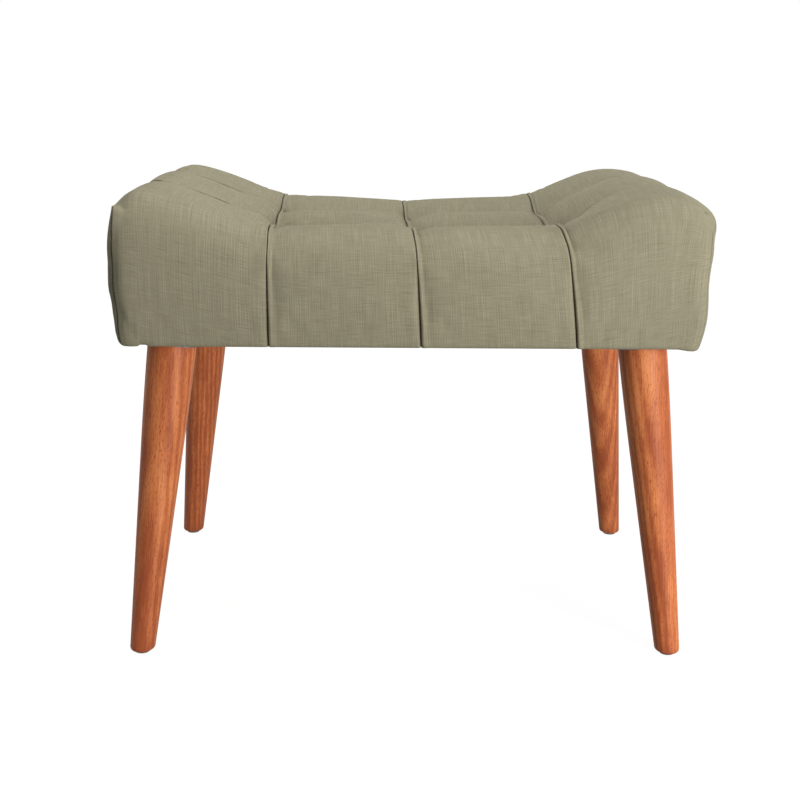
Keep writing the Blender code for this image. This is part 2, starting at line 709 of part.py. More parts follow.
for old in list(bpy.data.objects):
    bpy.data.objects.remove(old, do_unlink=True)

PARTS = collection("pouf")
CUTTERS = collection("pouf_cutters")

LINEN = material("linen", (0.30, 0.27, 0.19), 0.9)
WADDING = material("wadding", (0.80, 0.80, 0.78), 0.95)
FOAM = material("foam", (0.78, 0.68, 0.42), 0.95)
STAINED_WOOD = material("stained_wood", (0.46, 0.15, 0.06), 0.4)
PINE = material("pine", (0.62, 0.44, 0.26), 0.7)
PLYWOOD = material("plywood", (0.55, 0.38, 0.22), 0.75)
ZINC = material("zinc", (0.62, 0.62, 0.60), 0.4, 1.0)
NYLON = material("nylon", (0.06, 0.035, 0.022), 0.5)
NONWOVEN = material("nonwoven", (0.015, 0.015, 0.016), 0.95)
TWINE = material("twine", (0.58, 0.50, 0.36), 0.9)

LEG_X = FRAME_LENGTH / 2 - LEG_INSET_X
LEG_Y = FRAME_DEPTH / 2 - LEG_INSET_Y

seat_cover, wadding_wrap, middle_foam = build_upholstery()
frame_rails, frame_deck = build_frame()
build_ties((wadding_wrap, middle_foam, frame_deck))
build_dust_cover(LEG_X, LEG_Y)
build_corners(seat_cover, frame_rails, LEG_X, LEG_Y)
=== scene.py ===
"""Looks of the tufted pouf: linen upholstery, stained legs, lining, light and camera."""

import math

import bpy
import numpy as np
from mathutils import Matrix, Vector


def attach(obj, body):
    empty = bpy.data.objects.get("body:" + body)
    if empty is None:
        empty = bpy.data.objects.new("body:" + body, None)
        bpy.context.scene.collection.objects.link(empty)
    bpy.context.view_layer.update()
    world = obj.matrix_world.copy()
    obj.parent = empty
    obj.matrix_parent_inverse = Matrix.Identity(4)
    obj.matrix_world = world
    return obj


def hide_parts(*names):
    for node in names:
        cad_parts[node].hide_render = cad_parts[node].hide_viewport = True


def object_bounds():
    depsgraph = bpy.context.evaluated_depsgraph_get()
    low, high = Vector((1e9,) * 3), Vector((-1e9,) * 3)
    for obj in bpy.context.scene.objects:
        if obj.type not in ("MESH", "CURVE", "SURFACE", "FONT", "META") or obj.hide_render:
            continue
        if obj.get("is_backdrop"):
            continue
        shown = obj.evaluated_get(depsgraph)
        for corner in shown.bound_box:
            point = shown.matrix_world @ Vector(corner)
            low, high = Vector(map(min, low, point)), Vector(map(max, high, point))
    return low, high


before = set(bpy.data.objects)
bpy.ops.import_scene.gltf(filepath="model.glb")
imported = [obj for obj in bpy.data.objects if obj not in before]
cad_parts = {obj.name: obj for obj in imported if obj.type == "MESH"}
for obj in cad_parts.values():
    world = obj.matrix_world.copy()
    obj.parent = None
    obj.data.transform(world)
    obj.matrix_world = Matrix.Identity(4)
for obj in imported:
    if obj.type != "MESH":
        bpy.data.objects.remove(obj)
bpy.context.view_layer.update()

# Sizes shared with the part
HALF_LENGTH = 0.2835
HALF_DEPTH = 0.2025
HEM_Z = 0.3155
FOAM_Z = 0.3669
CREST_Z = 0.4205
EDGE_RADIUS = 0.034
SIDE_BULGE = 0.0125
BULGE_FADE = 0.065
SEAM_SPACING = 0.139
ROW_OFFSET = 0.064
TURN_UNDER = 0.014
COVER_THICKNESS = 0.0012
FRAME_UNDERSIDE = 0.3173
LEG_X = 0.2267
LEG_Y = 0.1331
LEG_SPLAY = math.radians(9.3)
LEG_TOP_DIAMETER = 0.0495
LEG_FOOT_DIAMETER = 0.0242
LEG_CUT_Z = 0.0023
LEG_TOP = 0.0103
STRETCHER_X = 0.0695
LINING_HALF = (0.258, 0.177)
LINING_TOP = 0.3152
LINING_THICKNESS = 0.0006
# Where the rounded edges begin
INNER_LENGTH = HALF_LENGTH - EDGE_RADIUS
INNER_DEPTH = HALF_DEPTH - EDGE_RADIUS
TURN_Z = CREST_Z - EDGE_RADIUS
MM = 0.001

# Saddle line, as the photo shows it: level along the front of the middle, sagging along the rear
LEFT_RAMP = (-0.130, -0.253)
RIGHT_RAMP = (0.115, 0.247)
LEFT_RISE = 0.0308
RIGHT_RISE = 0.0314
REAR_SAG = 0.0060
FRONT_LEVEL = 0.0025
REAR_DROP = 0.0040
MIDDLE_LOW = 0.0018
MIDDLE_REACH = 0.11
# Where the front line turns into the rear line, and along which runs each one rises
SAG_TURN = (-0.10, 0.12)
FRONT_RUN = (0.10, 0.24)
REAR_RUN = (0.10, 0.22)
MIDDLE_RUN = (0.10, 0.20)
# Small swell on the left ramp: height, place and reach
LEFT_SHOULDER = (0.0026, -0.252, 0.022)
# Droop of the ends towards their corners, and where it begins
LEFT_DROOP = 0.0052
RIGHT_DROOP = 0.0070
LEFT_DROOP_X = 0.175
RIGHT_DROOP_X = 0.196
DROOP_Y = 0.09

# Depth of each seam's furrow over the top, from the front crest back to the rear crest
FURROW_Y = (-0.172, -0.150, -0.112, -0.064, 0.0, 0.064, 0.140, 0.172)
FURROW_DEPTH = {
    -SEAM_SPACING: (0.0004, 0.0006, 0.0050, 0.0135, 0.0060, 0.0085, 0.0010, 0.0004),
    0.0: (0.0004, 0.0016, 0.0080, 0.0140, 0.0100, 0.0115, 0.0010, 0.0004),
    SEAM_SPACING: (0.0004, 0.0008, 0.0060, 0.0150, 0.0115, 0.0140, 0.0014, 0.0004),
}
FURROW_LEFT_REACH = {-SEAM_SPACING: 0.016, 0.0: 0.018, SEAM_SPACING: 0.021}
FURROW_RIGHT_REACH = {-SEAM_SPACING: 0.046, 0.0: 0.042, SEAM_SPACING: 0.035}
# Share of the edge radius below the crest that still counts as the top
TOP_EDGE = 0.15

# The cloth right of each seam's folded strip is drawn down further than on its left
STRIP_WIDTH = 0.0030
STRIP_FALL = 0.0018
RIGHT_DEPTH = {-SEAM_SPACING: 0.0045, 0.0: 0.0085, SEAM_SPACING: 0.0100}
# It is drawn down less near the front and the rear
FRONT_TURN = (-0.10, -0.19)
FRONT_EASE = 0.5
REAR_START = 0.08
REAR_EASE = 0.85
# Share of the centre seam's dip that reaches far into the pillow on its left
WIDE_SHARE = 0.70
WIDE_REACH = 0.075
WIDE_REACH_Y = 0.10
FACE_DEPTH = 0.0018
FACE_REACH = 0.018

# Depth of the two pleats from end to end, alike from the left end to just past the centre seam
ROW_OUTER_REACH = 0.100
ROW_OUTER_POWER = 1.35
ROW_X = (-0.2835, -0.185, -0.146, -0.139, -0.130, -0.075, -0.045, -0.012, 0.0, 0.009)
ROW_X += (0.070, 0.130, 0.139, 0.149, 0.165, 0.180, 0.195, 0.220, 0.2835)
ROW_DEPTH = (0.0030, 0.0030, 0.0006, 0.0006, 0.0180, 0.0128, 0.0085, 0.0040, 0.0020, 0.0205)
FRONT_ROW_RIGHT = (0.0130, 0.0125, 0.0080, 0.0220, 0.0160, 0.0080, 0.0028, 0.0010, 0.0035)
REAR_ROW_RIGHT = (0.0135, 0.0135, 0.0080, 0.0210, 0.0150, 0.0115, 0.0080, 0.0030, 0.0040)
PIT_DEPTH = {-SEAM_SPACING: 0.0080, 0.0: 0.0080, SEAM_SPACING: 0.0130}
PIT_REACH = 0.026

# Corners and hem
CORNER_CREASE = 0.0010
CREASE_REACH = 0.012
HEM_ROLL = 0.005
HEM_DROP = 0.0008
CORNER_FULL = 0.0042
LEFT_CORNER_LOW = -0.0020
RIGHT_CORNER_LOW = 0.0004
CORNER_HANG = 0.0016
LEFT_HANG = 0.3
CORNER_LOW_REACH = 0.060
# Where the hem is drawn up beside the front left leg
NOTCH_X = -0.2470
NOTCH_RISE = 0.0022
NOTCH_REACH = 0.0042
NOTCH_FADE = 0.016
NOTCH_STEPS = (-1.6, -1.0, -0.5, 0.0, 0.5, 1.0, 1.6)
# Sideways swells that trim the two ends: height to the right, level and reach
LEFT_TRIM = ((0.0074, 0.396, 0.046), (0.0040, 0.348, 0.022))
RIGHT_TRIM = ((0.0072, 0.438, 0.017), (-0.0066, 0.376, 0.042))
TRIM_START = 0.21

# How far each seam wanders sideways at the front hem, the front crest and the rear crest
SEAM_DRIFT = {
    -SEAM_SPACING: (0.009, 0.011, -0.004),
    0.0: (0.0115, 0.003, -0.0035),
    SEAM_SPACING: (0.0172, -0.002, 0.006),
}

# Height of the cloth beside a seam, in mm against distance in mm
# It has a folded strip on the right and a roll on the left
STRIP_SHAPE = (
    (0.15, 0.4, 0.7, 1.1, 1.6, 2.2, 2.8, 3.2, 3.6, 4.0, 4.5, 5.2, 6.2, 7.4, 9.0, 11.0),
    (-2.2, -0.8, 0.05, 0.4, 0.55, 0.55, 0.45, 0.2, 0.0, -0.1, -0.1, -0.08, -0.05, 0.0, 0.0, 0.0),
)
ROLL_SHAPE = (
    (0.15, 0.4, 0.8, 1.4, 2.4, 3.8, 6.0),
    (-2.2, -0.9, -0.3, 0.0, 0.15, 0.1, 0.0),
)
# The seam widens and deepens down the front, is finest below the crest and shallow at the rear
SEAM_SPREAD = 0.9
SPREAD_Z = (CREST_Z - 0.02, HEM_Z + 0.03)
SEAM_FINE = {-SEAM_SPACING: 0.45, 0.0: 0.55, SEAM_SPACING: 0.85}
FINE_FROM = (0.006, 0.016)
FINE_TO = (0.055, 0.080)
SEAM_DEPTH = 0.75
SEAM_DEEPER = 0.5
DEEPER_Z = (CREST_Z - 0.02, HEM_Z + 0.02)
REAR_SHALLOW = 0.45
# Height across a pleat, front to rear: a groove in front of a folded lip
PLEAT_SHAPE = (
    (-6.0, -3.0, -1.4, -0.7, -0.2, 0.3, 0.8, 1.4, 2.4, 4.0, 7.0),
    (0.0, -0.1, -0.35, -0.8, -1.4, -0.3, 0.45, 0.6, 0.45, 0.2, 0.0),
)
PLEAT_SHARE = (
    (-0.2835, -0.26, -0.235, -0.19, -0.176, -0.165, -0.12, 0.12, 0.150, 0.235, 0.2835),
    (0.25, 0.35, 1.4, 2.2, 0.5, 0.2, 0.3, 0.3, 0.3, 0.12, 0.12),
)
# How far the folded lip leans forward over its groove
PLEAT_LEAN = (
    (-0.7, -0.2, 0.3, 0.8, 1.4, 2.4, 4.0, 7.0),
    (0.0, 0.0, 0.8, 1.5, 1.7, 1.2, 0.5, 0.0),
)
# Height beside a corner fold, how far below the crest it is full, and its share front right
CORNER_SHAPE = (
    (0.0, 0.5, 1.0, 1.8, 3.0, 5.0, 8.0),
    (-2.6, -1.4, -0.4, 0.3, 0.55, 0.35, 0.0),
)
FOLD_FULL = 0.4
RIGHT_FOLD = 0.5
# Small dents at the top of the front corner folds: x, y, depth, reach
DENTS = ((0.2665, -0.184, 0.0038, 0.0030), (-0.2655, -0.1945, 0.0008, 0.0040))
DENT_STEPS = (-0.9, -0.45, 0.0, 0.45, 0.9)
# Where the front corners are sharper: the tip of the left fold, and the middle of the right one
# Each has its cage point, its share along x, y and z, and its reach
SHARPER = (
    ((-HALF_LENGTH, -HALF_DEPTH, CREST_Z), (0.04, 0.34, 1.0), (0.018, 0.031, 0.022)),
    ((HALF_LENGTH, -HALF_DEPTH, 0.360), (0.20, 0.55, 0.0), (0.035, 0.035, 0.040)),
)

# Tops of the tufting ties, which the cloth stays above
TIE_TOP = {-SEAM_SPACING: 0.4125, 0.0: 0.4042, SEAM_SPACING: 0.4125}
TIE_ROOM = 0.0022
TIE_REACH = 0.0020
TIE_SLOPE = 2.5

# Padding under the cover
PADDING_DEPTH = 0.0042
SEAM_ROOM = 0.0050
SEAM_ROOM_REACH = 0.016
PADDING_STEP = 0.008
PADDING_UNDERSIDE = 0.96

# Lines of the cover's mesh, beside its corner folds, around its hem and elsewhere
FOLD_STEPS = (0.0005, 0.001, 0.0018, 0.003, 0.005, 0.008, 0.012)
HEM_STEPS = (-0.010, -0.0075, -0.005, -0.0035, -0.002, -0.001, 0.0)
HEM_STEPS += (0.001, 0.002, 0.0035, 0.005, 0.008, 0.012)
GRID_STEP = 0.0042
STEP_ROOM = 0.2
# Slant of the weave on the front and rear of the end panels
WEAVE_TILT = 0.20

# Cloth simulation of the whole cover: light pressure from inside and a little slack
CLOTH_STEP = 0.0075
CLOTH_RULES = {
    "quality": 6,
    "mass": 0.25,
    "tension_stiffness": 12.0,
    "compression_stiffness": 12.0,
    "shear_stiffness": 4.0,
    "bending_stiffness": 0.15,
    "vertex_group_mass": "pins",
    "use_pressure": True,
    "uniform_pressure_force": 4.0,
    "shrink_min": -0.003,
}
CLOTH_FRAMES = 20
CLOTH_RISE = 0.0022
CLOTH_SINK = 0.0007
PIN_REACH = 0.001
HEM_HOLD = 0.010
TOUCH = 1e-7

# Legs: a slight neck under the seat, rounded edges, and the rings of the mesh
LEG_NECK = 0.0013
LEG_NECK_REACH = 0.10
FOOT_ROUND = 0.0035
RIM_ROUND = 0.0015
LEG_SEGMENTS = 72
LEG_RINGS = 40
FIRST_RING = 0.04
RIM_RINGS = 4
FOOT_RINGS = 6
CUT_PASSES = 6
CORNERS = {
    "front_left": (-1, -1),
    "front_right": (1, -1),
    "rear_left": (-1, 1),
    "rear_right": (1, 1),
}

# Lining: slack away from its edge and the leg plates, less so at the stretchers
LINING_GRID = (87, 60)
LINING_SAG = 0.0032
LINING_EDGE = (0.018, 0.075)
LINING_PLATE = (0.036, 0.080)
LINING_STRETCHER = (0.010, 0.055)
STRETCHER_SAG = 0.45
RIPPLE = 0.0004
FINE_RIPPLE = 0.0003

# Linen: scale of each streak across and along the cloth, and the tones they give
WARP_SCALE = (1300.0, 24.0, 1.0)
WEFT_SCALE = (60.0, 1500.0, 1.0)
PALE_SCALE = (1100.0, 13.0, 1.0)
DARK_SCALE = (26.0, 1150.0, 1.0)
DYE_SCALE = (26.0, 26.0, 1.0)
WANDER_SCALE = (210.0, 4.0, 1.0)
PATCH_SCALE = (45.0, 12.0, 1.0)
THREAD_RANGE = (0.4, 1.6)
THREAD_TONES = (0.24, 0.76)
SLUB_RANGE = (0.52, 0.76)
PALE_TONE = 0.10
DARK_TONE = 0.11
DYE_TONE = 0.03
THREAD_PITCH = 0.0016
WEAVE_RELIEF = 0.22
RIB_PITCH = 0.0022
RIB_TONE = 0.045
RIB_LEAST = 0.2
RIB_RANGE = (0.35, 0.65)
RIB_WANDER = 7.0
LINEN_COLOURS = (
    (0.0, (0.105, 0.095, 0.060)),
    (0.26, (0.205, 0.186, 0.1215)),
    (0.50, (0.300, 0.275, 0.1835)),
    (0.74, (0.400, 0.370, 0.2585)),
)
# Painted shade, the tone darkened where other surfaces are near as ambient occlusion: reach, range
# of open sky, and amount
CREVICE_SHADE = (0.008, (0.35, 0.85), 0.28)
HOLLOW_SHADE = (0.045, (0.55, 0.95), 0.14)
CONTACT_SHADE = (0.030, (0.30, 0.85), 0.10)

# Wood: scale of its rings, fibres, blotches and flecks, and the tones they give
RING_SQUEEZE = (1.0, 1.0, 0.16)
FIBRE_SCALE = (640.0, 640.0, 30.0)
BLOTCH_SCALE = (34.0, 34.0, 13.0)
FLECK_SCALE = (900.0, 900.0, 210.0)
FLECK_RANGE = (0.56, 0.74)
FLECK_TONE = 0.22
RING_TONE = 0.17
FIBRE_TONE = 0.46
BLOTCH_TONE = 0.50
SHADE_RANGE = (-0.32, -0.02)
STAIN = (
    (0.30, (0.360, 0.078, 0.023)),
    (0.48, (0.560, 0.155, 0.046)),
    (0.66, (0.760, 0.262, 0.088)),
)
LEG_SHADE = 0.10
# Tone shift of each leg's stain, partly its own colour; the rear left leg's larger drop is painted
# shade for the seat's shadow
LEG_TONE_AND_SHADE = {
    "front_left": -0.045,
    "front_right": -0.065,
    "rear_left": -0.100,
    "rear_right": -0.055,
}
PINE = ((0.30, (0.44, 0.28, 0.13)), (0.48, (0.62, 0.44, 0.24)), (0.66, (0.72, 0.55, 0.34)))
BIRCH = ((0.25, (0.46, 0.33, 0.19)), (0.50, (0.66, 0.52, 0.35)), (0.75, (0.76, 0.64, 0.47)))
ALONG_X = (0.0, math.pi / 2, 0.0)
ALONG_Y = (math.pi / 2, 0.0, 0.0)
PLY_SCALE = 105.0
PLY_GRAIN = (14.0, 420.0, 420.0)
STREAK_ROUGHNESS = 0.6

# Speckled materials: dark and pale colour, scale, roughness and share of metal
SPECKLE_STOPS = (0.35, 0.65)
SPECKLED = {
    "wadding": ((0.72, 0.72, 0.69), (0.86, 0.86, 0.84), 260.0, 0.95, 0.0),
    "nonwoven": ((0.010, 0.010, 0.011), (0.030, 0.030, 0.032), 900.0, 0.85, 0.0),
    # The zinc is far darker than bright zinc: painted shade, standing in for the shadow under the
    # hem at the leg plates
    "zinc": ((0.13, 0.13, 0.135), (0.21, 0.21, 0.215), 420.0, 0.6, 0.9),
    "nylon": ((0.10, 0.07, 0.05), (0.16, 0.11, 0.08), 700.0, 0.5, 0.0),
    "twine": ((0.50, 0.44, 0.33), (0.72, 0.66, 0.53), 1400.0, 0.9, 0.0),
}

# Stage: light from the surround, the floor as it lights and as it shows, and the lamps
SURROUND_LIGHT = 0.215
FLOOR_REACH = 6.0
FLOOR_BOUNCE = 0.24
FLOOR_SHOWN = 0.10
FLOOR_GLOW = 0.96
LAMP_TARGET = (0.0, 0.0, 0.35)
# Place, width and watts of each square lamp
LAMPS = {
    "key": ((1.2, -1.6, 0.42), 0.6, 32.5),
    "top": ((-0.05, 0.1, 2.2), 1.4, 22.5),
    "rear": ((0.0, 0.8, 2.1), 1.4, 6.0),
}
CAMERA_PLACE = (-0.0205, -1.3211, 0.56)
CAMERA_PITCH = math.radians(14.576)
CAMERA_YAW = math.radians(-0.650)
CAMERA_ROLL = math.radians(0.480)
CAMERA_LENS = 56.25
CAMERA_FRAME = 36.0


def smooth_step(low, high, value):
    share = np.clip((value - low) / (high - low), 0.0, 1.0)
    return share * share * (3.0 - 2.0 * share)


def dip(distance, reach):
    return np.maximum(0.0, 1.0 - distance / reach) ** 2


def swell(value, height, middle, reach):
    return height * np.exp(-(((value - middle) / reach) ** 2))


def saddle(x, y):
    """Rise of the seat's crest over the lowest point of its middle."""
    run = np.abs(x)
    left = x < 0.0
    rise = LEFT_RISE * smooth_step(*LEFT_RAMP, x) + RIGHT_RISE * smooth_step(*RIGHT_RAMP, x)
    rear = smooth_step(*SAG_TURN, y)
    rear_line = REAR_SAG * np.minimum(1.0, run / SEAM_SPACING)
    rear_line = rear_line - REAR_DROP * (1.0 - smooth_step(*REAR_RUN, run))
    front_line = FRONT_LEVEL + (REAR_SAG - FRONT_LEVEL) * smooth_step(*FRONT_RUN, run)
    droop = np.where(left, LEFT_DROOP, RIGHT_DROOP)
    droop = droop * smooth_step(np.where(left, LEFT_DROOP_X, RIGHT_DROOP_X), HALF_LENGTH, run)
    droop = droop * smooth_step(DROOP_Y, HALF_DEPTH, np.abs(y))
    middle = MIDDLE_LOW * dip(np.abs(y), MIDDLE_REACH) * (1.0 - smooth_step(*MIDDLE_RUN, run))
    shoulder = swell(x, *LEFT_SHOULDER)
    return front_line + (rear_line - front_line) * rear + rise + shoulder - droop - middle


def nearest_seam(x):
    """Place of the nearest seam, and the signed distance from it, positive on its right."""
    seams = np.array(sorted(SEAM_DRIFT))
    nearest = seams[np.argmin(np.abs(x[:, None] - seams), axis=1)]
    return nearest, x - nearest


def by_seam(nearest, values):
    """The value of each point's own seam."""
    picked = np.zeros_like(nearest)
    for seam, value in values.items():
        picked = np.where(np.isclose(nearest, seam), value, picked)
    return picked


def front_fall(y, z):
    """Way down the front, from where the top begins to turn over."""
    return np.clip(-INNER_DEPTH - y, 0.0, EDGE_RADIUS) + CREST_Z - z


def seam_shift(x, y, z):
    """Sideways wander of the cover, full at each seam and blended between seams and ends."""
    down = np.clip(front_fall(y, z) / (EDGE_RADIUS + CREST_Z - HEM_Z), 0.0, 1.0)
    back = np.clip((y + HALF_DEPTH) / (2.0 * HALF_DEPTH), 0.0, 1.0)
    stops = [-INNER_LENGTH, *sorted(SEAM_DRIFT), INNER_LENGTH]
    shifts = [np.zeros_like(x)]
    for seam in sorted(SEAM_DRIFT):
        hem, crest, rear = SEAM_DRIFT[seam]
        front = crest + (hem - crest) * down * (1.0 - back)
        shifts.append(front + (rear - crest) * back)
    shifts.append(np.zeros_like(x))
    total = np.zeros_like(x)
    for low, high, start, end in zip(stops, stops[1:], shifts, shifts[1:]):
        inside = (x >= low) & (x <= high)
        share = (x - low) / (high - low)
        total = np.where(inside, start + (end - start) * share, total)
    return total


def eased_interp(value, knots, levels):
    """Interpolation that is level at every knot."""
    spot = np.clip(np.searchsorted(knots, value) - 1, 0, len(knots) - 2)
    low, high = np.asarray(knots)[spot], np.asarray(knots)[spot + 1]
    share = smooth_step(0.0, 1.0, (value - low) / (high - low))
    levels = np.asarray(levels)
    return levels[spot] + (levels[spot + 1] - levels[spot]) * share


def sewn_dip(x, y, z):
    """Wide dips that seams, pleats, tufts and corner folds press into the padding."""
    nearest, side = nearest_seam(x)
    right = side > 0.0
    past_strip = np.maximum(0.0, side - STRIP_WIDTH)
    fallen = smooth_step(0.0, STRIP_FALL, side - STRIP_WIDTH)
    on_top = smooth_step(TURN_Z, CREST_Z - TOP_EDGE * EDGE_RADIUS, z)
    to_rear = smooth_step(REAR_START, INNER_DEPTH, y)
    to_front = smooth_step(*FRONT_TURN, y)
    depths = {seam: eased_interp(y, FURROW_Y, depth) for seam, depth in FURROW_DEPTH.items()}
    furrow = by_seam(nearest, depths)
    right_reach = by_seam(nearest, FURROW_RIGHT_REACH)
    left_reach = by_seam(nearest, FURROW_LEFT_REACH)
    away = np.where(right, past_strip / right_reach, -side / left_reach)
    wide = WIDE_SHARE * smooth_step(-WIDE_REACH, 0.0, x) * dip(np.abs(y), WIDE_REACH_Y)
    wide = np.where((nearest == 0.0) & ~right, wide, 0.0)
    furrow = furrow * on_top * np.maximum(dip(away, 1.0), wide)
    beside = by_seam(nearest, RIGHT_DEPTH) * dip(past_strip, right_reach) * on_top
    beside *= 1.0 - REAR_EASE * to_rear - FRONT_EASE * to_front
    beside = np.maximum(beside, FACE_DEPTH * dip(past_strip, FACE_REACH)) * fallen
    past_row = np.abs(y) - ROW_OFFSET
    outer = np.maximum(0.0, 1.0 - past_row / ROW_OUTER_REACH) ** ROW_OUTER_POWER
    front_row = np.interp(x, ROW_X, ROW_DEPTH + FRONT_ROW_RIGHT)
    rear_row = np.interp(x, ROW_X, ROW_DEPTH + REAR_ROW_RIGHT)
    row = np.where(y < 0.0, front_row, rear_row)
    row *= np.where(past_row < 0.0, dip(-past_row, ROW_OFFSET), outer)
    row *= np.where(right, smooth_step(0.0, STRIP_WIDTH + STRIP_FALL, side), 1.0)
    pit = by_seam(nearest, PIT_DEPTH) * dip(np.hypot(past_strip, past_row), PIT_REACH) * fallen
    to_corner = HALF_LENGTH - np.abs(x) + HALF_DEPTH - np.abs(y)
    below_crest = np.clip((CREST_Z - z) / EDGE_RADIUS, 0.0, 1.0)
    fold = CORNER_CREASE * dip(to_corner, CREASE_REACH) * below_crest
    drawn = (furrow**3 + beside**3 + row**3 + fold**3) ** (1.0 / 3.0) + pit
    return drawn * (1.0 - dip(z - HEM_Z, BULGE_FADE))


def stitched_height(x, y, z):
    """Fine relief of the sewing: seam strip and roll, pleats, corner folds and dents."""
    nearest, side = nearest_seam(x)
    fall = front_fall(y, z)
    fine = smooth_step(*FINE_FROM, fall) * (1.0 - smooth_step(*FINE_TO, fall))
    spread = 1.0 + SEAM_SPREAD * smooth_step(*SPREAD_Z, z)
    spread *= 1.0 - (1.0 - by_seam(nearest, SEAM_FINE)) * fine
    side = side / MM / spread
    strip = np.interp(side, *STRIP_SHAPE)
    roll = np.interp(-side, *ROLL_SHAPE)
    depth = SEAM_DEPTH + SEAM_DEEPER * smooth_step(*DEEPER_Z, z)
    depth = depth - REAR_SHALLOW * smooth_step(REAR_START, INNER_DEPTH, y)
    seam = np.where(side >= 0.0, strip, roll) * depth
    past_row = (y - np.copysign(ROW_OFFSET, y)) / MM
    pleat = np.interp(past_row, *PLEAT_SHAPE) * smooth_step(FOAM_Z, CREST_Z, z)
    pleat = pleat * np.interp(x, *PLEAT_SHARE)
    to_corner = np.hypot(HALF_LENGTH - np.abs(x), HALF_DEPTH - np.abs(y))
    to_corner = np.where(np.abs(x) < SEAM_SPACING, HALF_LENGTH, to_corner) / MM
    corner = np.interp(to_corner, *CORNER_SHAPE)
    corner = corner * smooth_step(CREST_Z, CREST_Z - FOLD_FULL * EDGE_RADIUS, z)
    corner *= np.where((x > 0.0) & (y < 0.0), RIGHT_FOLD, 1.0)
    dents = np.zeros_like(x)
    for spot_x, spot_y, depth, reach in DENTS:
        dents += depth * np.exp(-((x - spot_x) ** 2 + (y - spot_y) ** 2) / reach**2)
    return (seam + pleat + corner) * MM - dents * smooth_step(TURN_Z, CREST_Z, z)


def pleat_lean(x, y, z):
    """Forward lean of the folded lip along a pleat."""
    past_row = (y - np.copysign(ROW_OFFSET, y)) / MM
    share = np.minimum(1.0, np.interp(x, *PLEAT_SHARE))
    return np.interp(past_row, *PLEAT_LEAN) * share * smooth_step(FOAM_Z, CREST_Z, z) * MM


def plain_point(x, y, z):
    """Point of the padded form without sewing, its outward direction and its level."""
    level = np.maximum(z, HEM_Z)
    spot = np.stack([x, y, level], axis=1)
    core_x = np.clip(x, -INNER_LENGTH, INNER_LENGTH)
    core_y = np.clip(y, -INNER_DEPTH, INNER_DEPTH)
    core = np.stack([core_x, core_y, np.minimum(level, TURN_Z)], axis=1)
    outward = spot - core
    outward /= np.linalg.norm(outward, axis=1)[:, None]
    return core + outward * EDGE_RADIUS, outward, level


def end_trim(x, z):
    """Sideways correction of the two ends: left slimmer, right fuller at its top edge."""
    left, right = (sum(swell(z, *part) for part in trim) for trim in (LEFT_TRIM, RIGHT_TRIM))
    return np.where(x < 0.0, left, right) * smooth_step(TRIM_START, HALF_LENGTH, np.abs(x))


def sharp_seat(x, y, z, relief):
    """The seat rule of the part; relief gives the finer height of the layer over it."""
    plain, outward, level = plain_point(x + seam_shift(x, y, z), y, z)
    left = x < 0.0
    corner = (2.0 * outward[:, 0] * outward[:, 1]) ** 2
    low = dip(level - HEM_Z, CORNER_LOW_REACH)
    pulled = SIDE_BULGE * dip(level - HEM_Z, BULGE_FADE) + HEM_Z - np.minimum(z, HEM_Z)
    pulled -= (CORNER_FULL + np.where(left, LEFT_CORNER_LOW, RIGHT_CORNER_LOW) * low) * corner
    sunk = sewn_dip(x, y, level) - relief(x, y, level)
    moved = plain - outward * sunk[:, None]
    moved[:, :2] -= outward[:, :2] * pulled[:, None]
    moved[:, 2] += saddle(x, y) * np.maximum(0.0, plain[:, 2] - FOAM_Z) / (CREST_Z - FOAM_Z)
    moved[:, 2] -= (HEM_DROP + np.where(left, LEFT_HANG, 1.0) * CORNER_HANG * corner) * low
    notch = swell(x, NOTCH_RISE, NOTCH_X, NOTCH_REACH) * dip(level - HEM_Z, NOTCH_FADE)
    moved[:, 2] += np.where(y < 0.0, notch, 0.0)
    moved[:, 0] += end_trim(x, moved[:, 2])
    cage = np.stack([x, y, level], axis=1)
    for spot, share, reach in SHARPER:
        away = np.linalg.norm((cage - spot) / np.array(reach), axis=1)
        moved += np.exp(-(away**2))[:, None] * share * (cage - plain)
    return moved


def seat_surface(x, y, z, relief):
    """The seat rule with its hem rolled instead of sharp."""
    made = sharp_seat(x, y, z, relief)
    above = z - HEM_Z
    near = np.abs(above) < HEM_ROLL
    if near.any():
        px, py, share = x[near], y[near], (HEM_ROLL - above[near]) / (2.0 * HEM_ROLL)
        high = sharp_seat(px, py, np.full_like(px, HEM_Z + HEM_ROLL), relief)
        middle = sharp_seat(px, py, np.full_like(px, HEM_Z), relief)
        low = sharp_seat(px, py, np.full_like(px, HEM_Z - HEM_ROLL), relief)
        share = share[:, None]
        made[near] = (1 - share) ** 2 * high + 2 * share * (1 - share) * middle + share**2 * low
    return made


def lines_through(stops, step):
    """Sorted lines that meet every stop, with even steps between them."""
    stops = sorted(set(round(stop, 6) for stop in stops))
    lines = [stops[0]]
    for low, high in zip(stops, stops[1:]):
        count = max(1, math.ceil((high - low) / step - STEP_ROOM))
        lines += [low + (high - low) * number / count for number in range(1, count + 1)]
    return np.array(lines)


def mesh_object(name, points, faces, skin, weave=None):
    mesh = bpy.data.meshes.new(name)
    mesh.from_pydata(points.tolist(), [], faces)
    if weave is not None:
        layer = mesh.uv_layers.new(name="weave")
        layer.data.foreach_set("uv", np.asarray(weave, np.float32).ravel())
    mesh.polygons.foreach_set("use_smooth", np.ones(len(mesh.polygons), bool))
    mesh.materials.append(skin)
    made = bpy.data.objects.new(name, mesh)
    bpy.context.scene.collection.objects.link(made)
    return made


def add_thickness(made, thickness, offset):
    cloth = made.modifiers.new("cloth thickness", "SOLIDIFY")
    cloth.thickness = thickness
    cloth.offset = offset


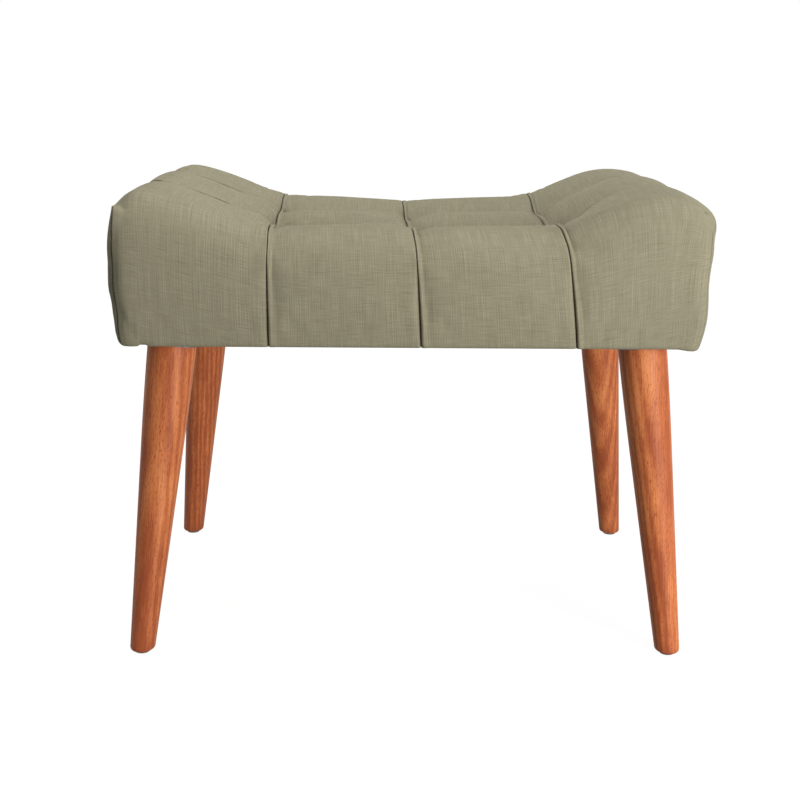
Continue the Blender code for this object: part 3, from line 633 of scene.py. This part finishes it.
def box_sheet(xs, ys, zs, ends):
    """Cover sheet on a box cage: its points, their grid places, faces and flat cloth places."""
    index = {}
    cage = []
    faces = []
    weave = []

    def vertex(i, j, k):
        key = (i, j, k)
        if key not in index:
            index[key] = len(cage)
            cage.append((xs[i], ys[j], zs[k]))
        return index[key]

    def add(keys, flat):
        faces.append([vertex(*key) for key in keys])
        weave.extend(flat(*key) for key in keys)

    last_x, last_y, top = len(xs) - 1, len(ys) - 1, len(zs) - 1

    def on_top(i, j, k):
        return xs[i], ys[j]

    def tilt(i, k):
        lifted = max(0.0, (zs[k] - FOAM_Z) / (CREST_Z - FOAM_Z))
        return WEAVE_TILT * max(0.0, abs(xs[i]) - SEAM_SPACING) * (1.0 - lifted)

    def on_front(i, j, k):
        return xs[i], ys[0] - (zs[top] - zs[k]) - tilt(i, k)

    def on_rear(i, j, k):
        return xs[i], ys[last_y] + (zs[top] - zs[k]) + tilt(i, k)

    def on_end(i, j, k):
        return xs[i] + math.copysign(zs[top] - zs[k], xs[i]), ys[j]

    for i in range(last_x):
        for j in range(last_y):
            add([(i, j, top), (i + 1, j, top), (i + 1, j + 1, top), (i, j + 1, top)], on_top)
        for k in range(top):
            add([(i, 0, k), (i + 1, 0, k), (i + 1, 0, k + 1), (i, 0, k + 1)], on_front)
            rear = [(i, last_y, k + 1), (i + 1, last_y, k + 1), (i + 1, last_y, k), (i, last_y, k)]
            add(rear, on_rear)
    for end in ends:
        side = 0 if end < 0 else last_x
        for j in range(last_y):
            for k in range(top):
                keys = [(side, j, k), (side, j + 1, k), (side, j + 1, k + 1), (side, j, k + 1)]
                add(keys if end > 0 else keys[::-1], on_end)
    return np.array(cage), index, faces, weave


def spline_weights(knots, value):
    """Four neighbouring knots of each value, and their weights in a smooth interpolation."""
    knots = np.asarray(knots)
    last = len(knots) - 1
    spot = np.clip(np.searchsorted(knots, value, side="right") - 1, 0, last - 1)
    places = np.clip(spot[:, None] + np.arange(-1, 3), 0, last)
    before, low, high, after = knots[places].T
    run = high - low
    share = np.clip((value - low) / run, 0.0, 1.0)
    from_low = run * (share**3 - 2 * share**2 + share) / (high - before)
    from_high = run * (share**3 - share**2) / (after - low)
    at_high = 3 * share**2 - 2 * share**3
    weights = [-from_low, 1.0 - at_high - from_high, at_high + from_low, from_high]
    return places, np.stack(weights, axis=1)


def sampled(grid, u_knots, v_knots, u, v):
    """Smooth values of a grid of vectors at scattered places."""
    u_places, u_weights = spline_weights(u_knots, u)
    v_places, v_weights = spline_weights(v_knots, v)
    total = np.zeros((len(u), 3))
    for a in range(4):
        for b in range(4):
            share = u_weights[:, a] * v_weights[:, b]
            total += share[:, None] * grid[u_places[:, a], v_places[:, b]]
    return total


def relaxed_cover():
    """How far the cloth swells and settles between its seams, by a cloth simulation."""
    columns = [-HALF_LENGTH, -INNER_LENGTH, *SEAM_DRIFT, INNER_LENGTH, HALF_LENGTH]
    rows = [-HALF_DEPTH, -INNER_DEPTH, -ROW_OFFSET, ROW_OFFSET, INNER_DEPTH, HALF_DEPTH]
    xs = lines_through(columns, CLOTH_STEP)
    ys = lines_through(rows, CLOTH_STEP)
    zs = lines_through([HEM_Z, TURN_Z, CREST_Z], CLOTH_STEP)
    cage, index, faces, _ = box_sheet(xs, ys, zs, [-1, 1])
    x, y, z = cage.T
    start = seat_surface(x, y, z, lambda x, y, z: np.zeros_like(x))
    skin = bpy.data.materials.new("cloth being relaxed")
    sheet = mesh_object("relaxed_cloth", start, faces, skin)
    pins = sheet.vertex_groups.new(name="pins")
    at_seam = np.abs(nearest_seam(x)[1]) < PIN_REACH
    at_row = (np.abs(np.abs(y) - ROW_OFFSET) < PIN_REACH) & (z > CREST_Z - PIN_REACH)
    at_hem = z < HEM_Z + HEM_HOLD
    at_corner = (np.abs(x) > HALF_LENGTH - PIN_REACH) & (np.abs(y) > HALF_DEPTH - PIN_REACH)
    held = np.flatnonzero(at_seam | at_row | at_hem | at_corner)
    pins.add(held.tolist(), 1.0, "REPLACE")
    cloth = sheet.modifiers.new("cloth", "CLOTH")
    for rule, value in CLOTH_RULES.items():
        setattr(cloth.settings, rule, value)
    cloth.settings.effector_weights.gravity = 0.0
    cloth.collision_settings.use_collision = False
    scene = bpy.context.scene
    for number in range(1, CLOTH_FRAMES + 1):
        scene.frame_set(number)
    settled = sheet.evaluated_get(bpy.context.evaluated_depsgraph_get()).to_mesh()
    end = np.empty(len(start) * 3)
    settled.vertices.foreach_get("co", end)
    outward = np.empty(len(start) * 3)
    sheet.data.vertices.foreach_get("normal", outward)
    outward = outward.reshape(-1, 3)
    rise = ((end.reshape(-1, 3) - start) * outward).sum(axis=1)
    limit = np.where(rise > 0.0, CLOTH_RISE, CLOTH_SINK)
    moved = outward * (limit * np.tanh(rise / limit))[:, None]
    bpy.data.objects.remove(sheet)
    scene.frame_set(1)
    along, deep, up = range(len(xs)), range(len(ys)), range(len(zs))

    def grid(places):
        return np.array([[moved[index[place]] for place in row] for row in places])

    over = grid([[(i, j, up[-1]) for j in deep] for i in along])
    fore, aft = (grid([[(i, j, k) for k in up] for i in along]) for j in (0, deep[-1]))
    left, right = (grid([[(i, j, k) for k in up] for j in deep]) for i in (0, along[-1]))

    def slack(x, y, z):
        z = np.maximum(z, HEM_Z)
        total = np.zeros((len(x), 3))
        todo = np.ones(len(x), bool)
        sides = (
            (z > CREST_Z - TOUCH, over, xs, ys, x, y),
            (y < TOUCH - HALF_DEPTH, fore, xs, zs, x, z),
            (y > HALF_DEPTH - TOUCH, aft, xs, zs, x, z),
            (x < TOUCH - HALF_LENGTH, left, ys, zs, y, z),
            (x > HALF_LENGTH - TOUCH, right, ys, zs, y, z),
        )
        for here, values, u_knots, v_knots, u, v in sides:
            here = here & todo
            todo &= ~here
            total[here] = sampled(values, u_knots, v_knots, u[here], v[here])
        return total

    return slack


def over_ties(made):
    """Keep the cloth just above the tops of the tufting ties."""
    for seam, top in TIE_TOP.items():
        for row in (-ROW_OFFSET, ROW_OFFSET):
            away = np.hypot(made[:, 0] - seam, made[:, 1] - row)
            lowest = top + TIE_ROOM - TIE_SLOPE * np.maximum(0.0, away - TIE_REACH)
            raised = np.maximum(made[:, 2], lowest)
            made[:, 2] = np.where(lowest > FOAM_Z, raised, made[:, 2])


def cover_panel(name, low, high, end, skin, slack):
    """One sewn panel of the cover between two seams, or between a seam and an end of the seat."""
    stops = [low, high]
    if low > -HALF_LENGTH:
        stops = [low + step * MM for step in STRIP_SHAPE[0]] + [high]
    if high < HALF_LENGTH:
        stops.remove(high)
        stops += [high - step * MM for step in ROLL_SHAPE[0]]
    if end:
        stops += [end * (HALF_LENGTH - step) for step in FOLD_STEPS]
        stops.append(end * INNER_LENGTH)
    if low < NOTCH_X < high:
        stops += [NOTCH_X + NOTCH_REACH * step for step in NOTCH_STEPS]
    rows = [HALF_DEPTH, INNER_DEPTH, *(HALF_DEPTH - step for step in FOLD_STEPS)]
    rows += [-row for row in rows]
    rows += [spot + step * MM for spot in (-ROW_OFFSET, ROW_OFFSET) for step in PLEAT_SHAPE[0]]
    for dent_x, dent_y, _, reach in DENTS:
        if low < dent_x < high:
            stops += [dent_x + reach * step for step in DENT_STEPS]
            rows += [dent_y + reach * step for step in DENT_STEPS]
    heights = [HEM_Z - TURN_UNDER, TURN_Z, CREST_Z, *(HEM_Z + step for step in HEM_STEPS)]
    xs, ys, zs = (lines_through(lines, GRID_STEP) for lines in (stops, rows, heights))
    cage, _, faces, weave = box_sheet(xs, ys, zs, [end] if end else [])
    made = seat_surface(*cage.T, stitched_height) + slack(*cage.T)
    made[:, 1] -= pleat_lean(*cage.T)
    over_ties(made)
    panel = mesh_object(name, made, faces, skin, weave)
    add_thickness(panel, COVER_THICKNESS, -1.0)
    return panel


def under_cover(x, y, z):
    """The padding lies below the cover, and deeper still along the seams."""
    return -PADDING_DEPTH - SEAM_ROOM * dip(np.abs(nearest_seam(x)[1]), SEAM_ROOM_REACH)


def padding_block(name, skin):
    """Foam and wadding as one crowned block on the deck."""
    xs = lines_through([-HALF_LENGTH, *SEAM_DRIFT, HALF_LENGTH], PADDING_STEP)
    ys = lines_through([-HALF_DEPTH, -ROW_OFFSET, ROW_OFFSET, HALF_DEPTH], PADDING_STEP)
    zs = lines_through([FOAM_Z, CREST_Z], PADDING_STEP)
    last = (len(xs) - 1, len(ys) - 1, len(zs) - 1)
    spots = list(np.ndindex(len(xs), len(ys), len(zs)))
    spots = [spot for spot in spots if any(at in (0, end) for at, end in zip(spot, last))]
    index = {spot: number for number, spot in enumerate(spots)}
    steps = np.eye(3, dtype=int)
    faces = []
    for spot in spots:
        for axis in range(3):
            if spot[axis] not in (0, last[axis]):
                continue
            first, second = steps[axis - 2], steps[axis - 1]
            ring = [spot, spot + first, spot + first + second, spot + second]
            face = [index.get(tuple(place)) for place in ring]
            if None not in face:
                faces.append(face[::-1] if spot[axis] == 0 else face)
    cage = np.array([(xs[i], ys[j], zs[k]) for i, j, k in spots])
    inner = np.array([k == 0 and 0 < i < last[0] and 0 < j < last[1] for i, j, k in spots])
    made = cage * (PADDING_UNDERSIDE, PADDING_UNDERSIDE, 1.0)
    made[~inner] = seat_surface(*cage[~inner].T, under_cover)
    made[:, 2] = np.maximum(made[:, 2], FOAM_Z)
    return mesh_object(name, made, faces, skin)


def new_material(name):
    made = bpy.data.materials.new(name)
    made.use_nodes = True
    return made, made.node_tree, made.node_tree.nodes["Principled BSDF"]


def feed(tree, node, inputs):
    """Set a node's inputs; each is either a value or another node's output."""
    for socket, value in inputs.items():
        if isinstance(value, bpy.types.NodeSocket):
            tree.links.new(value, node.inputs[socket])
        else:
            node.inputs[socket].default_value = value


def add_node(tree, kind, inputs=None, **settings):
    node = tree.nodes.new(kind)
    for key, value in settings.items():
        setattr(node, key, value)
    feed(tree, node, inputs or {})
    return node


def colour_ramp(tree, value, stops):
    ramp = add_node(tree, "ShaderNodeValToRGB", {0: value})
    elements = ramp.color_ramp.elements
    for number, (place, colour) in enumerate(stops):
        element = elements[number] if number < 2 else elements.new(place)
        element.position = place
        element.color = (*colour, 1.0)
    return ramp.outputs[0]


def object_place(tree):
    return add_node(tree, "ShaderNodeTexCoord").outputs["Object"]


def mapped(tree, place, **changes):
    """A place moved, turned or scaled."""
    return add_node(tree, "ShaderNodeMapping", {"Vector": place, **changes}).outputs[0]


def streaks(tree, place, scale, detail):
    """Noise drawn out along one direction by uneven scaling."""
    inputs = {"Vector": mapped(tree, place, Scale=scale), "Scale": 1.0}
    inputs.update({"Detail": detail, "Roughness": STREAK_ROUGHNESS})
    return add_node(tree, "ShaderNodeTexNoise", inputs).outputs[0]


def combine(tree, operation, first, second):
    return add_node(tree, "ShaderNodeMath", {0: first, 1: second}, operation=operation).outputs[0]


def wave(tree, value, pitch, shift=0.0):
    """Sine wave of the given pitch along a coordinate."""
    turned = combine(tree, "MULTIPLY", value, 2.0 * math.pi / pitch)
    return combine(tree, "SINE", combine(tree, "ADD", turned, shift), 0.0)


def stretched_range(tree, value, low, high, start, end):
    inputs = {"Value": value, "From Min": low, "From Max": high, "To Min": start, "To Max": end}
    return add_node(tree, "ShaderNodeMapRange", inputs).outputs[0]


def painted_shade(tree, tone, reach, sky_range, amount):
    """Tone made darker where nearby surfaces hide the sky: painted shade, put into the colour."""
    sky = add_node(tree, "ShaderNodeAmbientOcclusion", {"Distance": reach}, samples=8)
    darker = stretched_range(tree, sky.outputs["AO"], *sky_range, amount, 0.0)
    return combine(tree, "SUBTRACT", tone, darker)


def relief_normal(tree, strength, distance, height):
    inputs = {"Strength": strength, "Distance": distance, "Height": height}
    return add_node(tree, "ShaderNodeBump", inputs).outputs[0]


def linen_material():
    """Plain-woven linen: pale slubs down, dark ones across, fine threads and uneven dye."""
    made, tree, shader = new_material("linen")
    place = add_node(tree, "ShaderNodeUVMap", uv_map="weave").outputs[0]
    across, down, _ = add_node(tree, "ShaderNodeSeparateXYZ", {0: place}).outputs
    warp = streaks(tree, place, WARP_SCALE, 2.0)
    weft = streaks(tree, place, WEFT_SCALE, 2.0)
    threads = combine(tree, "ADD", warp, weft)
    pale = streaks(tree, place, PALE_SCALE, 1.0)
    pale = stretched_range(tree, pale, *SLUB_RANGE, 0.0, PALE_TONE)
    dark = streaks(tree, place, DARK_SCALE, 1.0)
    dark = stretched_range(tree, dark, *SLUB_RANGE, 0.0, DARK_TONE)
    dye = streaks(tree, place, DYE_SCALE, 3.0)
    dye = stretched_range(tree, dye, 0.0, 1.0, -DYE_TONE, DYE_TONE)
    tone = stretched_range(tree, threads, *THREAD_RANGE, *THREAD_TONES)
    tone = combine(tree, "ADD", tone, dye)
    tone = combine(tree, "SUBTRACT", combine(tree, "ADD", tone, pale), dark)
    # Painted shade: darker in the crevices of seams and pleats and in the hollows beside the tufts
    tone = painted_shade(tree, tone, *CREVICE_SHADE)
    tone = painted_shade(tree, tone, *HOLLOW_SHADE)
    wander = combine(tree, "MULTIPLY", streaks(tree, place, WANDER_SCALE, 1.0), RIB_WANDER)
    ribs = wave(tree, across, RIB_PITCH, wander)
    patches = streaks(tree, place, PATCH_SCALE, 2.0)
    patches = stretched_range(tree, patches, *RIB_RANGE, RIB_LEAST * RIB_TONE, RIB_TONE)
    tone = combine(tree, "ADD", tone, combine(tree, "MULTIPLY", ribs, patches))
    crossing = (wave(tree, across, THREAD_PITCH), wave(tree, down, THREAD_PITCH))
    weave = combine(tree, "MULTIPLY", combine(tree, "MULTIPLY", *crossing), WEAVE_RELIEF)
    relief = combine(tree, "ADD", weave, threads)
    relief = combine(tree, "ADD", relief, combine(tree, "ADD", pale, dark))
    looks = {
        "Base Color": colour_ramp(tree, tone, LINEN_COLOURS),
        "Normal": relief_normal(tree, 0.4, 0.0006, relief),
        "Roughness": stretched_range(tree, threads, 0.6, 1.4, 0.96, 0.86),
        "Specular IOR Level": 0.2,
        "Sheen Weight": 0.05,
        "Sheen Roughness": 0.5,
        "Sheen Tint": (0.75, 0.70, 0.52, 1.0),
    }
    feed(tree, shader, looks)
    return made


def wood_material(name, seed, stops, roughness, turn=(0.0, 0.0, 0.0), shade=0.0, tone_and_shade=0.0):
    """Wood grained along its own Z axis, or along the axis that turn brings there.

    It has rings, fibres, flecks and blotches, painted shade where other parts are near, and shade
    makes its lower end darker.
    """
    made, tree, shader = new_material(name)
    place = mapped(tree, object_place(tree), Rotation=turn)
    # Each seed is cut from another spot of the trunk
    spot = (0.031 + 0.006 * seed, 0.018 - 0.005 * seed, 0.11 * seed)
    heart = mapped(tree, place, Location=spot, Rotation=(0.05, -0.035, 0.9 * seed))
    ring_inputs = {
        "Vector": mapped(tree, heart, Scale=RING_SQUEEZE),
        "Scale": 58.0,
        "Distortion": 3.6,
        "Detail": 3.0,
        "Detail Scale": 0.9,
    }
    shape = {"wave_type": "RINGS", "rings_direction": "Z", "wave_profile": "SIN"}
    rings = add_node(tree, "ShaderNodeTexWave", ring_inputs, **shape).outputs["Fac"]
    fibre = streaks(tree, heart, FIBRE_SCALE, 4.0)
    blotch = streaks(tree, heart, BLOTCH_SCALE, 3.0)
    flecks = streaks(tree, heart, FLECK_SCALE, 1.0)
    flecks = stretched_range(tree, flecks, *FLECK_RANGE, 0.0, FLECK_TONE)
    tone = combine(tree, "MULTIPLY", rings, RING_TONE)
    tone = combine(tree, "ADD", tone, combine(tree, "MULTIPLY", fibre, FIBRE_TONE))
    tone = combine(tree, "ADD", tone, combine(tree, "MULTIPLY", blotch, BLOTCH_TONE))
    tone = combine(tree, "SUBTRACT", tone, flecks)
    # Painted shade: darker where the seat, plates and other parts are near, standing in for their
    # shadow
    tone = painted_shade(tree, tone, *CONTACT_SHADE)
    height = add_node(tree, "ShaderNodeSeparateXYZ", {0: place}).outputs[2]
    # Darker towards the lower end, and shifted by each leg's tone, which on the rear left leg is
    # painted shade
    shading = stretched_range(tree, height, *SHADE_RANGE, tone_and_shade - shade, tone_and_shade)
    tone = combine(tree, "ADD", tone, shading)
    looks = {
        "Base Color": colour_ramp(tree, tone, stops),
        "Normal": relief_normal(tree, 0.10, 0.0004, tone),
        "Roughness": stretched_range(tree, fibre, 0.2, 0.8, roughness - 0.06, roughness + 0.08),
        "Specular IOR Level": 0.3,
    }
    feed(tree, shader, looks)
    return made


def speckled_material(name):
    """Even material with a fine mottled tone between two colours, and a fine relief."""
    dark, pale, scale, roughness, metallic = SPECKLED[name]
    made, tree, shader = new_material(name)
    grain = streaks(tree, object_place(tree), (scale, scale, scale), 4.0)
    looks = {
        "Base Color": colour_ramp(tree, grain, zip(SPECKLE_STOPS, (dark, pale))),
        "Normal": relief_normal(tree, 0.2, 0.0002, grain),
        "Roughness": roughness,
        "Metallic": metallic,
    }
    feed(tree, shader, looks)
    return made


def plywood_material():
    """Birch plywood: grained faces, and thin plies of two tones through the thickness."""
    made, tree, shader = new_material("plywood")
    place = object_place(tree)
    grain = streaks(tree, place, PLY_GRAIN, 4.0)
    ply_inputs = {"Vector": place, "Scale": PLY_SCALE, "Distortion": 0.3}
    plies = add_node(tree, "ShaderNodeTexWave", ply_inputs, bands_direction="Z").outputs["Fac"]
    tone = combine(tree, "MULTIPLY", grain, 0.7)
    tone = combine(tree, "ADD", tone, combine(tree, "MULTIPLY", plies, 0.3))
    looks = {
        "Base Color": colour_ramp(tree, tone, BIRCH),
        "Normal": relief_normal(tree, 0.15, 0.0004, grain),
        "Roughness": stretched_range(tree, grain, 0.2, 0.8, 0.55, 0.7),
    }
    feed(tree, shader, looks)
    return made


def lining_sheet(name, skin):
    """Black lining under the frame: level at its edges and over the legs, slack between."""
    half_x, half_y = LINING_HALF
    rows, count = LINING_GRID
    xs = np.linspace(-half_x, half_x, rows)
    ys = np.linspace(-half_y, half_y, count)
    x, y = (grid.ravel() for grid in np.meshgrid(xs, ys, indexing="ij"))
    to_edge = np.minimum(half_x - np.abs(x), half_y - np.abs(y))
    to_plate = np.maximum(np.abs(np.abs(x) - LEG_X), np.abs(np.abs(y) - LEG_Y))
    free = smooth_step(*LINING_EDGE, to_edge) * smooth_step(*LINING_PLATE, to_plate)
    to_stretcher = np.abs(np.abs(x) - STRETCHER_X)
    held = STRETCHER_SAG + (1.0 - STRETCHER_SAG) * smooth_step(*LINING_STRETCHER, to_stretcher)
    ripple = RIPPLE * np.sin(x * 61.0 + 9.0 * y) * np.sin(y * 47.0)
    ripple = ripple + FINE_RIPPLE * np.sin(x * 23.0 - y * 88.0)
    sag = (LINING_SAG * held + ripple) * free
    points = np.stack([x, y, LINING_TOP - sag], axis=1)
    faces = []
    for i in range(rows - 1):
        for j in range(count - 1):
            near, far = i * count + j, (i + 1) * count + j
            faces.append([near, near + 1, far + 1, far])
    made = mesh_object(name, points, faces, skin)
    add_thickness(made, LINING_THICKNESS, 1.0)
    return made


def leg_shape():
    """Turned, tapered leg down its own -Z axis, its foot cut level and its edges rounded."""
    floor_run = FRAME_UNDERSIDE / math.cos(LEG_SPLAY)
    taper = (LEG_TOP_DIAMETER - LEG_FOOT_DIAMETER) / 2 / (floor_run - LEG_TOP)
    angles = np.arange(LEG_SEGMENTS) * 2.0 * math.pi / LEG_SEGMENTS
    across, aside = np.cos(angles), np.sin(angles)
    upright = (math.sin(LEG_SPLAY), math.cos(LEG_SPLAY))
    level = LEG_CUT_Z - FRAME_UNDERSIDE

    def radius_at(z):
        neck = LEG_NECK * dip(-z - LEG_TOP, LEG_NECK_REACH)
        return LEG_TOP_DIAMETER / 2 + taper * (z + LEG_TOP) - neck

    # Height at which each line of the cone meets the level cut
    cut = np.full(LEG_SEGMENTS, -floor_run)
    for _ in range(CUT_PASSES):
        cut = (level - upright[0] * radius_at(cut) * across) / upright[1]
    rings = []
    for turn in np.linspace(0.0, math.pi / 2, RIM_RINGS):
        inset = RIM_ROUND * (1.0 - math.sin(turn))
        z = np.full(LEG_SEGMENTS, -LEG_TOP - RIM_ROUND * (1.0 - math.cos(turn)))
        rings.append((radius_at(z) - inset, z))
    for share in np.linspace(FIRST_RING, 1.0, LEG_RINGS):
        z = (-LEG_TOP - RIM_ROUND) * (1.0 - share) + (cut + FOOT_ROUND) * share
        rings.append((radius_at(z), z))
    for turn in np.linspace(0.0, math.pi / 2, FOOT_RINGS)[1:]:
        z = cut + FOOT_ROUND * (1.0 - math.sin(turn))
        rings.append((radius_at(cut + FOOT_ROUND) - FOOT_ROUND * (1.0 - math.cos(turn)), z))
    points = []
    for radius, z in rings:
        points.extend(np.stack([radius * across, radius * aside, z], axis=1))
    faces = []
    for ring in range(len(rings) - 1):
        for step in range(LEG_SEGMENTS):
            nearby = (step + 1) % LEG_SEGMENTS
            low, high = ring * LEG_SEGMENTS, (ring + 1) * LEG_SEGMENTS
            faces.append([low + step, high + step, high + nearby, low + nearby])
    top = len(points)
    points.append((0.0, 0.0, -LEG_TOP))
    points.append((0.0, 0.0, level / upright[1]))
    sole = (len(rings) - 1) * LEG_SEGMENTS
    for step in range(LEG_SEGMENTS):
        nearby = (step + 1) % LEG_SEGMENTS
        faces.append([step, nearby, top])
        faces.append([sole + nearby, sole + step, top + 1])
    return np.array(points), faces


def add_lamp(name, spot, size, watts):
    lamp = bpy.data.lights.new(name, "AREA")
    lamp.shape = "RECTANGLE"
    lamp.size = lamp.size_y = size
    lamp.energy = watts
    made = bpy.data.objects.new(name, lamp)
    made.location = spot
    ahead = Vector(LAMP_TARGET) - Vector(spot)
    made.rotation_euler = ahead.to_track_quat("-Z", "Y").to_euler()
    bpy.context.scene.collection.objects.link(made)


def seen_directly(tree):
    """One for rays that show the background: camera, glossy and transmission rays."""
    path = add_node(tree, "ShaderNodeLightPath")
    shown = combine(tree, "MAXIMUM", path.outputs["Is Camera Ray"], path.outputs["Is Glossy Ray"])
    return combine(tree, "MAXIMUM", shown, path.outputs["Is Transmission Ray"])


def build_stage():
    """White surround, a pale floor that keeps a soft shadow, and three plain lamps."""
    scene = bpy.context.scene
    scene.view_settings.view_transform = "Standard"
    world = bpy.data.worlds.new("studio")
    scene.world = world
    world.use_nodes = True
    tree = world.node_tree
    strength = stretched_range(tree, seen_directly(tree), 0.0, 1.0, SURROUND_LIGHT, 1.0)
    white = (1.0, 1.0, 1.0, 1.0)
    feed(tree, tree.nodes["Background"], {"Color": white, "Strength": strength})

    signs = ((-1, -1), (1, -1), (1, 1), (-1, 1))
    corners = np.array([(x * FLOOR_REACH, y * FLOOR_REACH, 0.0) for x, y in signs])
    skin, tree, shader = new_material("floor")
    shown = seen_directly(tree)
    bounce = stretched_range(tree, shown, 0.0, 1.0, FLOOR_BOUNCE, FLOOR_SHOWN)
    feed(tree, shader, {"Base Color": bounce, "Roughness": 0.9, "Specular IOR Level": 0.1})
    glow = {"Color": white, "Strength": combine(tree, "MULTIPLY", shown, FLOOR_GLOW)}
    glow = add_node(tree, "ShaderNodeEmission", glow)
    both = add_node(tree, "ShaderNodeAddShader", {0: shader.outputs[0], 1: glow.outputs[0]})
    feed(tree, tree.nodes["Material Output"], {"Surface": both.outputs[0]})
    floor = mesh_object("floor", corners, [[0, 1, 2, 3]], skin)
    floor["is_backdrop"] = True

    for name, (spot, size, watts) in LAMPS.items():
        add_lamp(name, spot, size, watts)


def build_camera():
    """Camera of the photo: a little above the seat and looking down at it."""
    flat, fall = math.cos(CAMERA_PITCH), math.sin(CAMERA_PITCH)
    level = Vector((math.cos(CAMERA_YAW), math.sin(CAMERA_YAW), 0.0))
    ahead = Vector((-math.sin(CAMERA_YAW) * flat, math.cos(CAMERA_YAW) * flat, -fall))
    upward = level.cross(ahead)
    right = math.cos(CAMERA_ROLL) * level + math.sin(CAMERA_ROLL) * upward
    up = math.cos(CAMERA_ROLL) * upward - math.sin(CAMERA_ROLL) * level
    lens = bpy.data.cameras.new("photo_camera")
    lens.lens = CAMERA_LENS
    lens.sensor_width = CAMERA_FRAME
    lens.sensor_fit = "HORIZONTAL"
    camera = bpy.data.objects.new("photo_camera", lens)
    turn = Matrix((right, up, -ahead)).transposed().to_4x4()
    camera.matrix_world = Matrix.Translation(CAMERA_PLACE) @ turn
    bpy.context.scene.collection.objects.link(camera)
    bpy.context.scene.camera = camera


def dress(node, skin):
    """Give a kept CAD node its finished material."""
    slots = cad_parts[node].data.materials
    slots.clear()
    slots.append(skin)


build_stage()
build_camera()

LINEN = linen_material()
PANELS = {
    "cover_left_end": (-HALF_LENGTH, -SEAM_SPACING, -1),
    "cover_mid_left": (-SEAM_SPACING, 0.0, 0),
    "cover_mid_right": (0.0, SEAM_SPACING, 0),
    "cover_right_end": (SEAM_SPACING, HALF_LENGTH, 1),
}
slack = relaxed_cover()
for node, (low, high, end) in PANELS.items():
    panel = cover_panel("linen_" + node, low, high, end, LINEN, slack)
    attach(panel, "root")
    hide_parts(node)

padding = padding_block("seat_padding", speckled_material("wadding"))
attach(padding, "root")
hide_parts("wadding", "foam_left", "foam_centre", "foam_right")

points, faces = leg_shape()
for number, (corner, (side_x, side_y)) in enumerate(CORNERS.items()):
    tones = {"shade": LEG_SHADE, "tone_and_shade": LEG_TONE_AND_SHADE[corner]}
    skin = wood_material("stained_wood_" + corner, number, STAIN, 0.55, **tones)
    leg = mesh_object("turned_leg_" + corner, points, faces, skin)
    turn = Matrix.Rotation(math.atan2(side_y, side_x), 4, "Z")
    turn = turn @ Matrix.Rotation(-LEG_SPLAY, 4, "Y")
    spot = (side_x * LEG_X, side_y * LEG_Y, FRAME_UNDERSIDE)
    leg.matrix_world = Matrix.Translation(spot) @ turn
    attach(leg, "root")
    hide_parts("leg_" + corner)

lining = lining_sheet("lining", speckled_material("nonwoven"))
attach(lining, "root")
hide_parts("dust_cover")

PINE_X = wood_material("pine_along_x", 5, PINE, 0.6, ALONG_X)
PINE_Y = wood_material("pine_along_y", 6, PINE, 0.6, ALONG_Y)
PLYWOOD = plywood_material()
ZINC_WITH_PAINTED_SHADE = speckled_material("zinc")
NYLON = speckled_material("nylon")
TWINE = speckled_material("twine")
FINISHES = {
    "rail_front": PINE_X,
    "rail_rear": PINE_X,
    "rail_": PINE_Y,
    "stretcher_": PINE_Y,
    "corner_block_": PINE_Y,
    "deck": PLYWOOD,
    "leg_plate_": ZINC_WITH_PAINTED_SHADE,
    "hanger_bolt_": ZINC_WITH_PAINTED_SHADE,
    "plate_screw_": ZINC_WITH_PAINTED_SHADE,
    "glide_": NYLON,
    "tuft_tie_": TWINE,
}
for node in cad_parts:
    skins = [skin for start, skin in FINISHES.items() if node.startswith(start)]
    if skins:
        dress(node, skins[0])

low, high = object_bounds()
